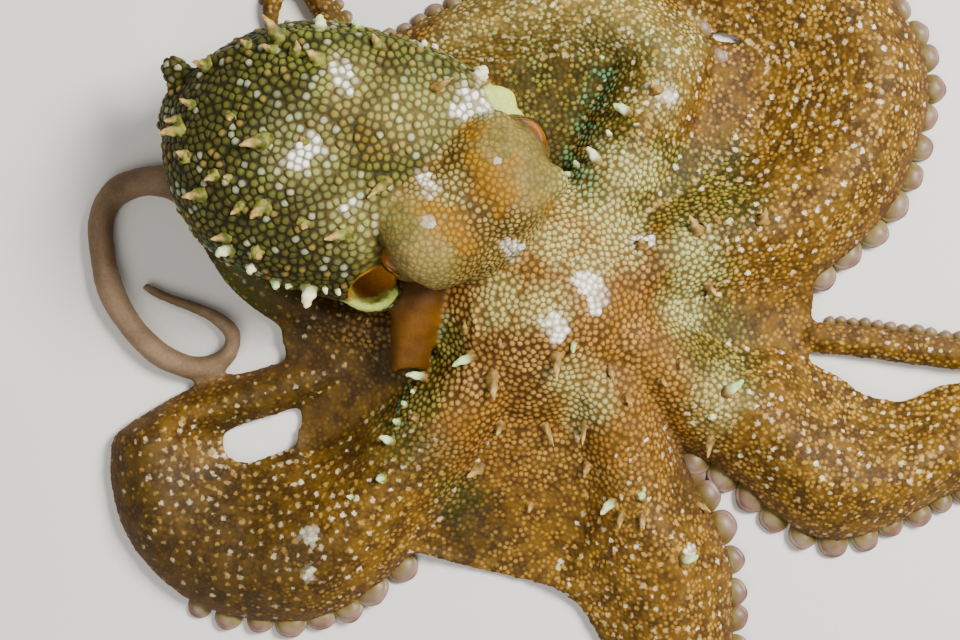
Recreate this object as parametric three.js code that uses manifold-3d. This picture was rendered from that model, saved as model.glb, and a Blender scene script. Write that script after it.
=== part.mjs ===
// A common octopus, life size, crawling over a flat floor with its arms spread and curled.
// Millimetres, +Z up. The origin is on the floor under the mouth. The head looks towards +X -Y,
// so the animal's left arms (L1 to L4) lie towards +X +Y and its right arms (R1 to R4) towards -X -Y.
import * as THREE from 'three';
import { mergeVertices } from 'three/addons/utils/BufferGeometryUtils.js';
import Module from 'manifold-3d';

const wasm = await Module();
wasm.setup();

// ---- Driving dimensions ----
const GAP = 0.3;            // clear space between neighbouring solids
const ARM_STEP = 12;        // distance between two cross-sections of an arm
const EDGE = 1.6;           // thickness of an arm's or web's free edge
const TUBE_RATIO = 0.6;     // half width of an arm's muscular tube over its height
const EDGE_CLEARANCE = 4;   // times GAP that an arm's thin edges keep from a web
const SUCKER_RATIO = 0.51;  // diameter of a sucker's rim over the height of its arm
const SUCKER_PITCH = 1.03;  // distance between two suckers over their diameter
const SUCKER_BACK = 0.34;   // radius of a sucker's flat back over its diameter
const SUCKER_RISE = 0.3;    // height of a sucker's back over its diameter
const SUCKER_SIDES = 6;
const SUCKER_LEAST = 9;     // smaller suckers are only part of the surface
const CROWN = { radius: 46, top: 46, rim: 23, segments: 22, rings: 3 };
const WEB = { start: 0.08, alongSteps: 3, acrossSteps: 5, crestShare: 0.72, edgeHeight: 3, crownHeight: 30 };

// Where each arm lies: rows of [outer edge x, y, inner edge x, y, height of the arm], from the
// mouth to the tip. The suckers show along the outer edge; the inner edge is the web's margin.
const ARMS = {
  L1: [
    [14, -26, 30, 6, 37], [33, -40, 51, -5, 33], [50, -56, 75, -17, 29], [75, -72, 97, -20, 27],
    [97, -90, 116, -29, 25], [116, -96, 128, -37, 24], [135, -91, 143, -39, 22],
    [155, -81, 155, -34, 20], [175, -72, 165, -32, 18], [193, -62, 175, -32, 16],
    [205, -46, 180, -31, 14], [206, -29, 182, -30, 13], [195, -16, 180, -29, 12],
    [178, -17, 175, -29, 12], [151, -13, 153, -27, 11], [120, -9, 121, -23, 9], [106, -8, 109, -22, 8],
  ],
  L2: [
    [28, -11, 16, 23, 37], [49, -4, 34, 34, 33], [75, 1, 56, 47, 30], [99, 4, 66, 60, 27],
    [119, 17, 75, 68, 26], [138, 37, 81, 78, 25], [148, 60, 85, 86, 24], [153, 82, 86, 92, 23],
    [150, 101, 85, 96, 22], [139, 119, 81, 101, 20], [121, 137, 75, 104, 18], [99, 146, 68, 105, 16],
    [75, 150, 60, 107, 14], [54, 151, 49, 121, 12], [34, 156, 34, 138, 10.5], [14, 162, 14, 149, 9],
    [-8, 167, -7, 158, 8], [-28, 166, -26, 159, 6.5], [-44, 159, -41, 154, 5],
  ],
  L3: [
    [27, 8, -5, 22, 36], [40, 30, 3, 45, 32], [54, 54, 14, 72, 28], [66, 82, 21, 88, 25],
    [67, 95, 22, 93, 24], [62, 107, 19, 96, 23], [50, 119, 12, 95, 22], [34, 131, 2, 95, 21],
    [8, 132, -10, 93, 19], [-18, 125, -24, 93, 17], [-40, 116, -38, 92, 15], [-58, 107, -56, 88, 12.5],
    [-75, 105, -77, 91, 11.5], [-83, 118, -94, 115, 10], [-98, 131, -98, 121, 8.5],
    [-112, 122, -103, 120, 7.5], [-112, 108, -106, 109, 6], [-106, 99, -102, 103, 4.5],
  ],
  L4: [
    [4, 34, -24, 18, 30], [-10, 53, -34, 39, 14], [-23, 69, -39, 51, 12.5], [-44, 78, -52, 59, 12],
    [-65, 84, -68, 64, 12], [-87, 85, -85, 66, 11.5], [-107, 76, -96, 64, 11],
    [-116, 57, -101, 56, 10.5], [-107, 39, -98, 49, 10], [-88, 34, -89, 46, 9], [-73, 43, -81, 49, 8],
    [-74, 59, -80, 55, 7], [-85, 64, -88, 59, 5.5],
  ],
  R1: [
    [28, -11, -2, -31, 37], [43, -30, 9, -50, 33], [50, -56, 14, -72, 29], [60, -73, 12, -86, 27],
    [68, -88, 3, -104, 26], [74, -104, 4, -115, 24], [75, -121, 13, -123, 23],
    [75, -137, 22, -137, 21], [73, -157, 31, -155, 19], [64, -177, 36, -168, 17],
    [46, -195, 28, -177, 15], [20, -201, 16, -184, 13], [-3, -195, 2, -182, 11],
    [-14, -175, -5, -174, 8], [-8, -159, -4, -164, 6.5], [6, -158, 5, -162, 5],
  ],
  R2: [
    [-5, -33, -31, -8, 36], [-20, -56, -50, -27, 32], [-36, -79, -68, -43, 29],
    [-53, -102, -89, -59, 27], [-82, -124, -102, -58, 25], [-113, -128, -118, -63, 23],
    [-141, -120, -125, -61, 21], [-164, -100, -127, -58, 19], [-173, -76, -127, -56, 17],
    [-173, -56, -127, -54, 16], [-166, -49, -124, -52, 15.5], [-150, -39, -119, -50, 14.5],
    [-135, -32, -113, -48, 13.5], [-120, -28, -106, -46, 12.5], [-104, -24, -96, -42, 11.5],
    [-88, -21, -84, -37, 10], [-73, -18, -71, -29, 8],
  ],
  R3: [
    [-26, -19, -34, 10, 30], [-49, -24, -51, 3, 20], [-75, -24, -69, 3, 15], [-101, -14, -90, 9, 13],
    [-124, 2, -109, 20, 12.5], [-138, 23, -124, 35, 12.5], [-148, 38, -139, 51, 12],
    [-157, 41, -158, 54, 11.5], [-167, 38, -174, 48, 11], [-171, 32, -182, 35, 11],
    [-171, 21, -182, 19, 11], [-167, 5, -178, 1, 11], [-159, -9, -167, -16, 10.5],
    [-148, -19, -153, -28, 10], [-137, -22, -136, -32, 9.5], [-129, -19, -123, -24, 8.5],
    [-128, -15, -121, -12, 7.5], [-134, -9, -130, -4, 7], [-142, -5, -140, 0, 6.5],
    [-152, -1, -150, 3, 6], [-160, 3, -158, 7, 5],
  ],
  R4: [
    [-16, 20, -28, -8, 28], [-39, 27, -48, 3, 14], [-59, 31, -65, 10, 12.5], [-77, 35, -82, 15, 12],
    [-94, 38, -101, 21, 12], [-106, 44, -118, 32, 11.5], [-112, 54, -127, 49, 11],
    [-114, 65, -129, 67, 10], [-111, 74, -119, 83, 9], [-101, 80, -104, 89, 7.5],
    [-91, 83, -92, 89, 6],
  ],
};
// Stretch of each arm that carries a sucker row on its outer edge, as shares of its length.
const SUCKER_STRETCH = {
  L1: [0.24, 0.98], L2: [0.28, 0.9], L3: [0.38, 0.62], R1: [0.3, 0.85], R2: [0.3, 0.53],
};
const ARM_LENGTHS = ['base', 'middle', 'outer', 'tip'];

// The web between two arms runs out to the given share of each arm; its free edge is drawn in
// or out by one control point.
const WEBS = [
  ['R1', 0.3, 'L1', 0.22, [62, -62]],
  ['L1', 0.3, 'L2', 0.27, [112, -14]],
  ['L2', 0.42, 'L3', 0.36, [76, 106]],
  ['R2', 0.34, 'R1', 0.42, [-24, -112]],
  ['R2', 0.42, 'R3', 0.26, [-88, -40]],
  ['R3', 0.25, 'R4', 0.35, [-86, 15]],
  ['R4', 0.35, 'L4', 0.3, [-70, 48]],
  ['L4', 0.3, 'L3', 0.55, [-52, 86]],
];

// Mantle: rows of [x, y, half width, underside z, top z] along its axis, from the neck to the apex.
const MANTLE = [
  [-41, 37, 33, 20, 60], [-48, 40, 48, 15, 68], [-64, 47, 51.5, 14, 76], [-85, 54, 51, 13.5, 82],
  [-105, 60, 48, 13.5, 81], [-122, 66, 38.5, 15, 75], [-134, 70, 26, 20, 64], [-141, 73, 12, 28, 52],
];
const MANTLE_LATERAL = [[0.61, 0.79], [0.4, 0.92]];  // side direction at the neck and at the apex
const MANTLE_ROUNDNESS = 2.3;                        // exponent of its superellipse section
const APEX_FLAP = { centre: [-140, 85, 47], radii: [5, 7, 6] };
const GILL_CUP = { centre: [-68, 6.5, 33], radii: [11, 12, 14] };  // the mantle's lip below the gill opening
const APERTURE = { centre: [-67.5, 7, 44], radii: [9, 8.6, 14] };   // gill opening above the funnel

const SIDEWAYS = new THREE.Vector3(0.82, 0.575, 0).normalize();  // from the right eye to the left
const HEAD = [
  { centre: [-31, 35, 42], radii: [30, 26, 28] },
  { centre: [-32, 36, 56], radii: [20, 20, 20] },   // between the brows
  { centre: [-45, 46, 50], radii: [20, 16, 20] },   // nape
];
const BROWS = [
  { name: 'R', centre: [-44, 26, 57], radii: [19.5, 22.5, 20], eye: [-53.3, 18.6, 54] },
  { name: 'L', centre: [-19.5, 45, 57], radii: [19.5, 22.5, 20], eye: [-11.5, 57, 54] },
];
const EYE_RADIUS = 11;

// Funnel: rows of [x, y, half width, underside z, top z] from under the head to its mouth.
const FUNNEL = [
  [-49, 10, 12, 15, 35], [-50, 0, 11.5, 14, 36], [-51, -10, 10, 15, 34], [-53, -20, 8.5, 17, 31],
  [-54, -28, 7.5, 18, 29],
];
const FUNNEL_BORE = 3.5;

const COLOURS = {
  crown: 0x8a6a20, head: 0xa08a50, mantle: 0x9a9550, funnel: 0x8a5a05, eye: 0xc87010, arm: 0x7a5515,
  web: 0x6d6a22,
};

// ---- Solids ----
const object = new THREE.Group();

function toSolid(geometry) {
  const bare = geometry.clone();
  for (const name of ['normal', 'uv']) bare.deleteAttribute(name);
  const merged = mergeVertices(bare, 1e-4);
  const mesh = new wasm.Mesh({
    numProp: 3,
    vertProperties: new Float32Array(merged.attributes.position.array),
    triVerts: new Uint32Array(merged.index.array),
  });
  return new wasm.Manifold(mesh);
}

function toGeometry(solid) {
  const mesh = solid.getMesh();
  const geometry = new THREE.BufferGeometry();
  geometry.setAttribute('position', new THREE.BufferAttribute(new Float32Array(mesh.vertProperties), 3));
  geometry.setIndex(new THREE.BufferAttribute(new Uint32Array(mesh.triVerts), 1));
  return geometry;
}

// Cutting can leave crumbs; the piece is the largest body.
function largest(solid) {
  return solid.decompose().reduce((best, piece) => (piece.volume() > best.volume() ? piece : best));
}

function joined(solids) {
  return solids.reduce((sum, solid) => sum.add(solid));
}

function addNode(name, solid, colour, roughness = 0.5) {
  const geometry = toGeometry(largest(solid));
  const material = new THREE.MeshStandardMaterial({ color: colour, roughness, metalness: 0 });
  const mesh = new THREE.Mesh(geometry, material);
  mesh.name = name;
  object.add(mesh);
}

function ellipsoid(centre, radii, turn = new THREE.Quaternion(), grow = 0, detail = 14) {
  const geometry = new THREE.SphereGeometry(1, detail, Math.round(detail * 0.6));
  geometry.rotateX(Math.PI / 2);
  geometry.scale(...radii.map((r) => r + grow));
  geometry.applyQuaternion(turn);
  geometry.translate(...centre);
  return toSolid(geometry);
}

// A solid through upright cross-sections. Each has its foot on the floor, a level side direction
// and a ring of [along side, z] points.
function loft(sections) {
  const count = sections[0].ring.length;
  const positions = [];
  for (const { foot, side, ring } of sections) {
    for (const [s, z] of ring) positions.push(foot.x + side.x * s, foot.y + side.y * s, z);
  }
  const index = [];
  for (let i = 0; i + 1 < sections.length; i++) {
    for (let j = 0; j < count; j++) {
      const a = i * count + j;
      const b = i * count + (j + 1) % count;
      index.push(a, b, b + count, a, b + count, a + count);
    }
  }
  const last = (sections.length - 1) * count;
  const flat = (section) => section.ring.map((p) => new THREE.Vector2(...p));
  const cap = (section) => THREE.ShapeUtils.triangulateShape(flat(section), []);
  for (const [a, b, c] of cap(sections[0])) index.push(c, b, a);
  for (const [a, b, c] of cap(sections.at(-1))) index.push(last + a, last + b, last + c);
  return toSolid(outward(positions, index));
}

// Turns every face round if the closed mesh encloses a negative volume.
function outward(positions, index) {
  const p = (i) => new THREE.Vector3().fromArray(positions, 3 * i);
  let volume = 0;
  for (let i = 0; i < index.length; i += 3) {
    volume += p(index[i]).dot(p(index[i + 1]).cross(p(index[i + 2])));
  }
  const facing = volume < 0 ? index.toReversed() : index;
  const geometry = new THREE.BufferGeometry();
  geometry.setAttribute('position', new THREE.Float32BufferAttribute(positions, 3));
  geometry.setIndex(facing);
  return geometry;
}

// A smooth curve through rows of any number of values, read at a share 0 to 1 of its run.
function smoothRows(rows) {
  const spots = rows.map((row) => new THREE.Vector3((row[0] + row[2]) / 2, (row[1] + row[3]) / 2, 0));
  const run = [0];
  for (let i = 1; i < rows.length; i++) run.push(run[i - 1] + spots[i].distanceTo(spots[i - 1]));
  const total = run.at(-1);
  const at = (share) => {
    const s = Math.min(Math.max(share, 0), 1) * total;
    let i = 0;
    while (i < rows.length - 2 && run[i + 1] < s) i++;
    const t = (s - run[i]) / (run[i + 1] - run[i]);
    return rows[0].map((_, k) => {
      const slope = (j) => {
        const before = Math.max(j - 1, 0);
        const after = Math.min(j + 1, rows.length - 1);
        return (rows[after][k] - rows[before][k]) / (run[after] - run[before]);
      };
      const span = run[i + 1] - run[i];
      const t2 = t * t;
      const t3 = t2 * t;
      return (2 * t3 - 3 * t2 + 1) * rows[i][k] + (t3 - 2 * t2 + t) * span * slope(i)
        + (3 * t2 - 2 * t3) * rows[i + 1][k] + (t3 - t2) * span * slope(i + 1);
    });
  };
  return { at, total };
}

// Height of an arm's skin at a share q of the way from its crest to an edge: round over the
// muscular tube, falling to a thin web where the edge lies far out.
function archHeight(q, reach, height) {
  const web = Math.max(0, 1 - TUBE_RATIO * height / reach);
  const round = Math.sqrt(1 - 0.92 * q * q);
  const bell = 0.5 * (1 + Math.cos(Math.PI * q));
  return EDGE + (height - EDGE) * ((1 - web) * round + web * bell);
}

function armSection([ox, oy, ix, iy, height], grow = 0) {
  const outer = new THREE.Vector3(ox, oy, 0);
  const side = new THREE.Vector3(ix, iy, 0).sub(outer);
  const width = side.length();
  side.divideScalar(width);
  const crest = Math.min(width / 2, height);
  const reaches = [crest, width - crest];
  const spread = EDGE_CLEARANCE * grow;
  const ring = [];
  for (const q of [-1, -0.75, -0.4, 0, 0.4, 0.75, 1]) {
    const reach = q < 0 ? reaches[0] : reaches[1];
    ring.push([crest + q * (reach + spread), archHeight(Math.abs(q), reach, height) + grow]);
  }
  const tuck = reaches.map((reach) => Math.min(0.22 * height, 0.3 * reach));
  ring.push([width - tuck[1] + spread, -grow], [tuck[0] - spread, -grow]);
  ring.reverse();  // counter-clockwise, as the caps need
  return { foot: outer, side, ring, crest: outer.clone().addScaledVector(side, crest) };
}

// One length of an arm. Its two ends are drawn in by the given shares, which part it from the
// next length.
function armSolid(curve, from, to, grow = 0, drawIn = [0, 0]) {
  const steps = Math.max(2, Math.round((to - from) * curve.total / ARM_STEP));
  const sections = [];
  for (let i = 0; i <= steps; i++) {
    let share = from + (to - from) * i / steps;
    if (i === 0) share += drawIn[0];
    if (i === steps) share -= drawIn[1];
    sections.push(armSection(curve.at(share), grow));
  }
  return loft(sections);
}

// Length of an arm's outer edge between two shares of its run.
function edgeLength(curve, from, to) {
  const samples = 12;
  let length = 0;
  for (let i = 0; i < samples; i++) {
    const [ax, ay] = curve.at(from + (to - from) * i / samples);
    const [bx, by] = curve.at(from + (to - from) * (i + 1) / samples);
    length += Math.hypot(bx - ax, by - ay);
  }
  return length;
}

// Suckers evenly spaced along the outer edge: low bells that stand on the floor, half under the arm.
function suckers(curve, from, to, grow = 0) {
  const typical = SUCKER_RATIO * curve.at((from + to) / 2)[4];
  if (to <= from || typical < SUCKER_LEAST) return [];
  const count = Math.floor(edgeLength(curve, from, to) / (SUCKER_PITCH * typical));
  const bells = [];
  for (let i = 0; i < count; i++) {
    const [x, y, , , height] = curve.at(from + (to - from) * (i + 0.5) / count);
    const diameter = SUCKER_RATIO * height;
    const radii = [SUCKER_BACK * diameter + grow, diameter / 2 + grow];
    const bell = new THREE.CylinderGeometry(...radii, SUCKER_RISE * diameter + grow, SUCKER_SIDES);
    bell.rotateX(Math.PI / 2);
    bell.translate(x, y, (SUCKER_RISE * diameter + grow) / 2);
    bells.push(toSolid(bell));
  }
  return bells;
}

// ---- Head, mantle and funnel ----
const headTurn = new THREE.Quaternion().setFromUnitVectors(new THREE.Vector3(1, 0, 0), SIDEWAYS);

function headSolid(grow) {
  return joined([...HEAD, ...BROWS].map(({ centre, radii }) => ellipsoid(centre, radii, headTurn, grow, 11)));
}

// A superellipse section between two heights.
function roundSection([x, y, halfWidth, low, high], side, grow, exponent, points) {
  const ring = [];
  for (let i = 0; i < points; i++) {
    const angle = 2 * Math.PI * i / points;
    const power = (value) => Math.sign(value) * Math.abs(value) ** (2 / exponent);
    ring.push([
      power(Math.cos(angle)) * (halfWidth + grow),
      (low + high) / 2 + power(Math.sin(angle)) * ((high - low) / 2 + grow),
    ]);
  }
  return { foot: new THREE.Vector3(x, y, 0), side, ring };
}

function mantleSolid(grow) {
  const [first, last] = MANTLE_LATERAL.map((v) => new THREE.Vector3(...v, 0).normalize());
  const sections = MANTLE.map((row, i) => {
    const side = first.clone().lerp(last, Math.min(1, i / 4)).normalize();
    return roundSection(row, side, grow, MANTLE_ROUNDNESS, 16);
  });
  const extras = [APEX_FLAP, GILL_CUP]
    .map(({ centre, radii }) => ellipsoid(centre, radii, headTurn, grow, 8));
  return joined([loft(sections), ...extras]);
}

function funnelSolid(grow) {
  const side = new THREE.Vector3(1, 0.1, 0).normalize();
  return loft(FUNNEL.map((row) => roundSection(row, side, grow, 2, 12)));
}

function funnelBore() {
  const side = new THREE.Vector3(1, 0.1, 0).normalize();
  const rows = FUNNEL.slice(2).map(([x, y, , low, high]) => {
    const middle = (low + high) / 2;
    return [x, y, FUNNEL_BORE, middle - FUNNEL_BORE, middle + FUNNEL_BORE];
  });
  const [x, y, ...rest] = rows.at(-1);
  rows.push([x - 1, y - 8, ...rest]);
  return loft(rows.map((row) => roundSection(row, side, 0, 2, 10)));
}

const eyeball = Array(3).fill(EYE_RADIUS);
const eyes = (grow) => BROWS.map((brow) => ellipsoid(brow.eye, eyeball, headTurn, grow, 12));
const headClear = headSolid(GAP).add(joined(eyes(GAP)));
const mantleClear = mantleSolid(GAP);
const funnelClear = funnelSolid(GAP);

BROWS.forEach((brow, i) => addNode(`eye_${brow.name}`, eyes(0)[i], COLOURS.eye, 0.15));
addNode('head', headSolid(0).subtract(joined(eyes(GAP))), COLOURS.head);
const aperture = ellipsoid(APERTURE.centre, APERTURE.radii, headTurn, 0, 10);
addNode('mantle', mantleSolid(0).subtract(joined([headClear, aperture, funnelClear])), COLOURS.mantle);
addNode('funnel', funnelSolid(0).subtract(headClear).subtract(funnelBore()), COLOURS.funnel);

// ---- Crown, arms and webs ----
function crownSolid(grow) {
  const { radius, top, rim, segments, rings } = CROWN;
  const profile = [new THREE.Vector2(0, -grow), new THREE.Vector2(radius + grow, -grow)];
  for (let i = 0; i <= rings; i++) {
    const share = 1 - i / rings;
    profile.push(new THREE.Vector2(share * (radius + grow), top + grow - (top - rim) * share * share));
  }
  const geometry = new THREE.LatheGeometry(profile, segments);
  geometry.rotateX(Math.PI / 2);
  return toSolid(geometry);
}

let taken = joined([headClear, mantleClear, funnelClear]);
addNode('crown', crownSolid(0).subtract(taken), COLOURS.crown);
taken = taken.add(crownSolid(GAP));

const curves = {};
for (const [name, rows] of Object.entries(ARMS)) {
  curves[name] = smoothRows(rows);
}

for (const [name, curve] of Object.entries(curves)) {
  const cut = 0.5 * GAP / curve.total;
  const made = [];
  ARM_LENGTHS.forEach((length, i) => {
    const from = i / ARM_LENGTHS.length;
    const to = (i + 1) / ARM_LENGTHS.length;
    const drawIn = [i > 0 ? cut : 0, i < ARM_LENGTHS.length - 1 ? cut : 0];
    const [first, last] = SUCKER_STRETCH[name] ?? [1, 0];
    const bells = (grow) => suckers(curve, Math.max(from, first), Math.min(to, last), grow);
    const piece = joined([armSolid(curve, from, to, 0, drawIn), ...bells(0)]);
    addNode(`arm_${name}_${length}`, piece.subtract(joined([taken, ...made])), COLOURS.arm);
    made.push(armSolid(curve, from, to, GAP), ...bells(GAP));
  });
  taken = joined([taken, ...made]);
}

// A web: a grid from the crown out to the free edge, and from one arm's crest to the next.
function webSolid([nameA, reachA, nameB, reachB, [mx, my]]) {
  const crestOf = (name, share) => {
    const row = curves[name].at(share);
    return armSection(row).crest.clone().setZ(row[4]);
  };
  const control = new THREE.Vector3(mx, my, 0);
  const endA = crestOf(nameA, reachA);
  const endB = crestOf(nameB, reachB);
  const edge = new THREE.QuadraticBezierCurve3(endA.clone().setZ(0), control, endB.clone().setZ(0));
  const { start, alongSteps, acrossSteps, crestShare, edgeHeight, crownHeight } = WEB;
  const rows = [];
  for (let i = 0; i <= alongSteps; i++) {
    const u = i / alongSteps;
    const a = crestOf(nameA, THREE.MathUtils.lerp(start, reachA, u));
    const b = crestOf(nameB, THREE.MathUtils.lerp(start, reachB, u));
    const row = [];
    for (let j = 0; j <= acrossSteps; j++) {
      const v = j / acrossSteps;
      const spot = a.clone().lerp(b, v);
      const pull = edge.getPoint(v).sub(endA.clone().lerp(endB, v).setZ(0)).multiplyScalar(u * u);
      const middle = Math.sin(Math.PI * v);
      const low = THREE.MathUtils.lerp(Math.min(crownHeight, spot.z * crestShare), edgeHeight, u);
      row.push([spot.x + pull.x, spot.y + pull.y, THREE.MathUtils.lerp(spot.z * crestShare, low, middle)]);
    }
    rows.push(row);
  }
  return gridSolid(rows);
}

// The closed body between a grid of points and the floor.
function gridSolid(rows) {
  const across = rows[0].length;
  const count = rows.length * across;
  const top = rows.flat();
  const positions = [...top.flat(), ...top.flatMap(([x, y]) => [x, y, 0])];
  const index = [];
  const quad = (a, b, c, d) => index.push(a, b, c, a, c, d);
  for (let i = 0; i + 1 < rows.length; i++) {
    for (let j = 0; j + 1 < across; j++) {
      const a = i * across + j;
      quad(a, a + 1, a + across + 1, a + across);
      quad(count + a, count + a + across, count + a + across + 1, count + a + 1);
    }
  }
  const wall = (loop) => loop.forEach((a, k) => {
    const b = loop[(k + 1) % loop.length];
    quad(a, a + count, b + count, b);
  });
  const rim = [];
  for (let j = 0; j < across; j++) rim.push(j);
  for (let i = 1; i < rows.length; i++) rim.push(i * across + across - 1);
  for (let j = across - 2; j >= 0; j--) rim.push((rows.length - 1) * across + j);
  for (let i = rows.length - 2; i > 0; i--) rim.push(i * across);
  wall(rim);
  return toSolid(outward(positions, index));
}

for (const web of WEBS) {
  addNode(`web_${web[0]}_${web[2]}`, webSolid(web).subtract(taken), COLOURS.web);
}

export default object;
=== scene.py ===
import math

import bpy
import numpy as np
from mathutils import Matrix, Vector, noise
from mathutils.bvhtree import BVHTree
from mathutils.kdtree import KDTree


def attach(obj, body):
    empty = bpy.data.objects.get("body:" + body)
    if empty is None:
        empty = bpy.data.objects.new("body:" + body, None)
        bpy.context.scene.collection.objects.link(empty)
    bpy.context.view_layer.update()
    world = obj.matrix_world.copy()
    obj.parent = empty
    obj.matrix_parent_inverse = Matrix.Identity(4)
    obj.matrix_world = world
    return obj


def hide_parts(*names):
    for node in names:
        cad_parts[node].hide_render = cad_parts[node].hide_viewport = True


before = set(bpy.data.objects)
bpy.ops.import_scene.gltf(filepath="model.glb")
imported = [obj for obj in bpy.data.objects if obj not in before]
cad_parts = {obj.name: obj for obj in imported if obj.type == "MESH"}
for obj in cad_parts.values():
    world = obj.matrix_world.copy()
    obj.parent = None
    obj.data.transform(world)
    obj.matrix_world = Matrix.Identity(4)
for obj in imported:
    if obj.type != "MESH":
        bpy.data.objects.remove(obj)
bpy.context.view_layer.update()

# A common octopus crawling over a flat floor. Lengths are millimetres until a mesh is made.
MM = 0.001
rng = np.random.default_rng(8)

# ---- Sizes shared with the solids ----
EDGE = 1.6
TUBE_RATIO = 0.6
SUCKER_RATIO = 0.51
SUCKER_PITCH = 1.03
CROWN_RADIUS, CROWN_TOP, CROWN_RIM = 46, 46, 23
WEB_START, WEB_CREST_SHARE, WEB_EDGE_HEIGHT, WEB_CROWN_HEIGHT = 0.08, 0.72, 3, 30

# Arm routes: rows of [outer edge x, y, inner edge x, y, height], from the mouth to the tip.
ARMS = {
    "L1": [
        [14, -26, 30, 6, 37], [33, -40, 51, -5, 33], [50, -56, 75, -17, 29], [75, -72, 97, -20, 27],
        [97, -90, 116, -29, 25], [116, -96, 128, -37, 24], [135, -91, 143, -39, 22],
        [155, -81, 155, -34, 20], [175, -72, 165, -32, 18], [193, -62, 175, -32, 16],
        [205, -46, 180, -31, 14], [206, -29, 182, -30, 13], [195, -16, 180, -29, 12],
        [178, -17, 175, -29, 12], [151, -13, 153, -27, 11], [120, -9, 121, -23, 9], [106, -8, 109, -22, 8],
    ],
    "L2": [
        [28, -11, 16, 23, 37], [49, -4, 34, 34, 33], [75, 1, 56, 47, 30], [99, 4, 66, 60, 27],
        [119, 17, 75, 68, 26], [138, 37, 81, 78, 25], [148, 60, 85, 86, 24], [153, 82, 86, 92, 23],
        [150, 101, 85, 96, 22], [139, 119, 81, 101, 20], [121, 137, 75, 104, 18], [99, 146, 68, 105, 16],
        [75, 150, 60, 107, 14], [54, 151, 49, 121, 12], [34, 156, 34, 138, 10.5], [14, 162, 14, 149, 9],
        [-8, 167, -7, 158, 8], [-28, 166, -26, 159, 6.5], [-44, 159, -41, 154, 5],
    ],
    "L3": [
        [27, 8, -5, 22, 36], [40, 30, 3, 45, 32], [54, 54, 14, 72, 28], [66, 82, 21, 88, 25],
        [67, 95, 22, 93, 24], [62, 107, 19, 96, 23], [50, 119, 12, 95, 22], [34, 131, 2, 95, 21],
        [8, 132, -10, 93, 19], [-18, 125, -24, 93, 17], [-40, 116, -38, 92, 15],
        [-58, 107, -56, 88, 12.5], [-75, 105, -77, 91, 11.5], [-83, 118, -94, 115, 10],
        [-98, 131, -98, 121, 8.5], [-112, 122, -103, 120, 7.5], [-112, 108, -106, 109, 6],
        [-106, 99, -102, 103, 4.5],
    ],
    "L4": [
        [4, 34, -24, 18, 30], [-10, 53, -34, 39, 14], [-23, 69, -39, 51, 12.5], [-44, 78, -52, 59, 12],
        [-65, 84, -68, 64, 12], [-87, 85, -85, 66, 11.5], [-107, 76, -96, 64, 11],
        [-116, 57, -101, 56, 10.5], [-107, 39, -98, 49, 10], [-88, 34, -89, 46, 9],
        [-73, 43, -81, 49, 8], [-74, 59, -80, 55, 7], [-85, 64, -88, 59, 5.5],
    ],
    "R1": [
        [28, -11, -2, -31, 37], [43, -30, 9, -50, 33], [50, -56, 14, -72, 29], [60, -73, 12, -86, 27],
        [68, -88, 3, -104, 26], [74, -104, 4, -115, 24], [75, -121, 13, -123, 23],
        [75, -137, 22, -137, 21], [73, -157, 31, -155, 19], [64, -177, 36, -168, 17],
        [46, -195, 28, -177, 15], [20, -201, 16, -184, 13], [-3, -195, 2, -182, 11],
        [-14, -175, -5, -174, 8], [-8, -159, -4, -164, 6.5], [6, -158, 5, -162, 5],
    ],
    "R2": [
        [-5, -33, -31, -8, 36], [-20, -56, -50, -27, 32], [-36, -79, -68, -43, 29],
        [-53, -102, -89, -59, 27], [-82, -124, -102, -58, 25], [-113, -128, -118, -63, 23],
        [-141, -120, -125, -61, 21], [-164, -100, -127, -58, 19], [-173, -76, -127, -56, 17],
        [-173, -56, -127, -54, 16], [-166, -49, -124, -52, 15.5], [-150, -39, -119, -50, 14.5],
        [-135, -32, -113, -48, 13.5], [-120, -28, -106, -46, 12.5], [-104, -24, -96, -42, 11.5],
        [-88, -21, -84, -37, 10], [-73, -18, -71, -29, 8],
    ],
    "R3": [
        [-26, -19, -34, 10, 30], [-49, -24, -51, 3, 20], [-75, -24, -69, 3, 15], [-101, -14, -90, 9, 13],
        [-124, 2, -109, 20, 12.5], [-138, 23, -124, 35, 12.5], [-148, 38, -139, 51, 12],
        [-157, 41, -158, 54, 11.5], [-167, 38, -174, 48, 11], [-171, 32, -182, 35, 11],
        [-171, 21, -182, 19, 11], [-167, 5, -178, 1, 11], [-159, -9, -167, -16, 10.5],
        [-148, -19, -153, -28, 10], [-137, -22, -136, -32, 9.5], [-129, -19, -123, -24, 8.5],
        [-128, -15, -121, -12, 7.5], [-134, -9, -130, -4, 7], [-142, -5, -140, 0, 6.5],
        [-152, -1, -150, 3, 6], [-160, 3, -158, 7, 5],
    ],
    "R4": [
        [-16, 20, -28, -8, 28], [-39, 27, -48, 3, 14], [-59, 31, -65, 10, 12.5], [-77, 35, -82, 15, 12],
        [-94, 38, -101, 21, 12], [-106, 44, -118, 32, 11.5], [-112, 54, -127, 49, 11],
        [-114, 65, -129, 67, 10], [-111, 74, -119, 83, 9], [-101, 80, -104, 89, 7.5],
        [-91, 83, -92, 89, 6],
    ],
}
WEBS = [
    ["R1", 0.3, "L1", 0.22, (62, -62)], ["L1", 0.3, "L2", 0.27, (112, -14)],
    ["L2", 0.42, "L3", 0.36, (76, 106)], ["R2", 0.34, "R1", 0.42, (-24, -112)],
    ["R2", 0.42, "R3", 0.26, (-88, -40)], ["R3", 0.25, "R4", 0.35, (-86, 15)],
    ["R4", 0.35, "L4", 0.3, (-70, 48)], ["L4", 0.3, "L3", 0.55, (-52, 86)],
]
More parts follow.
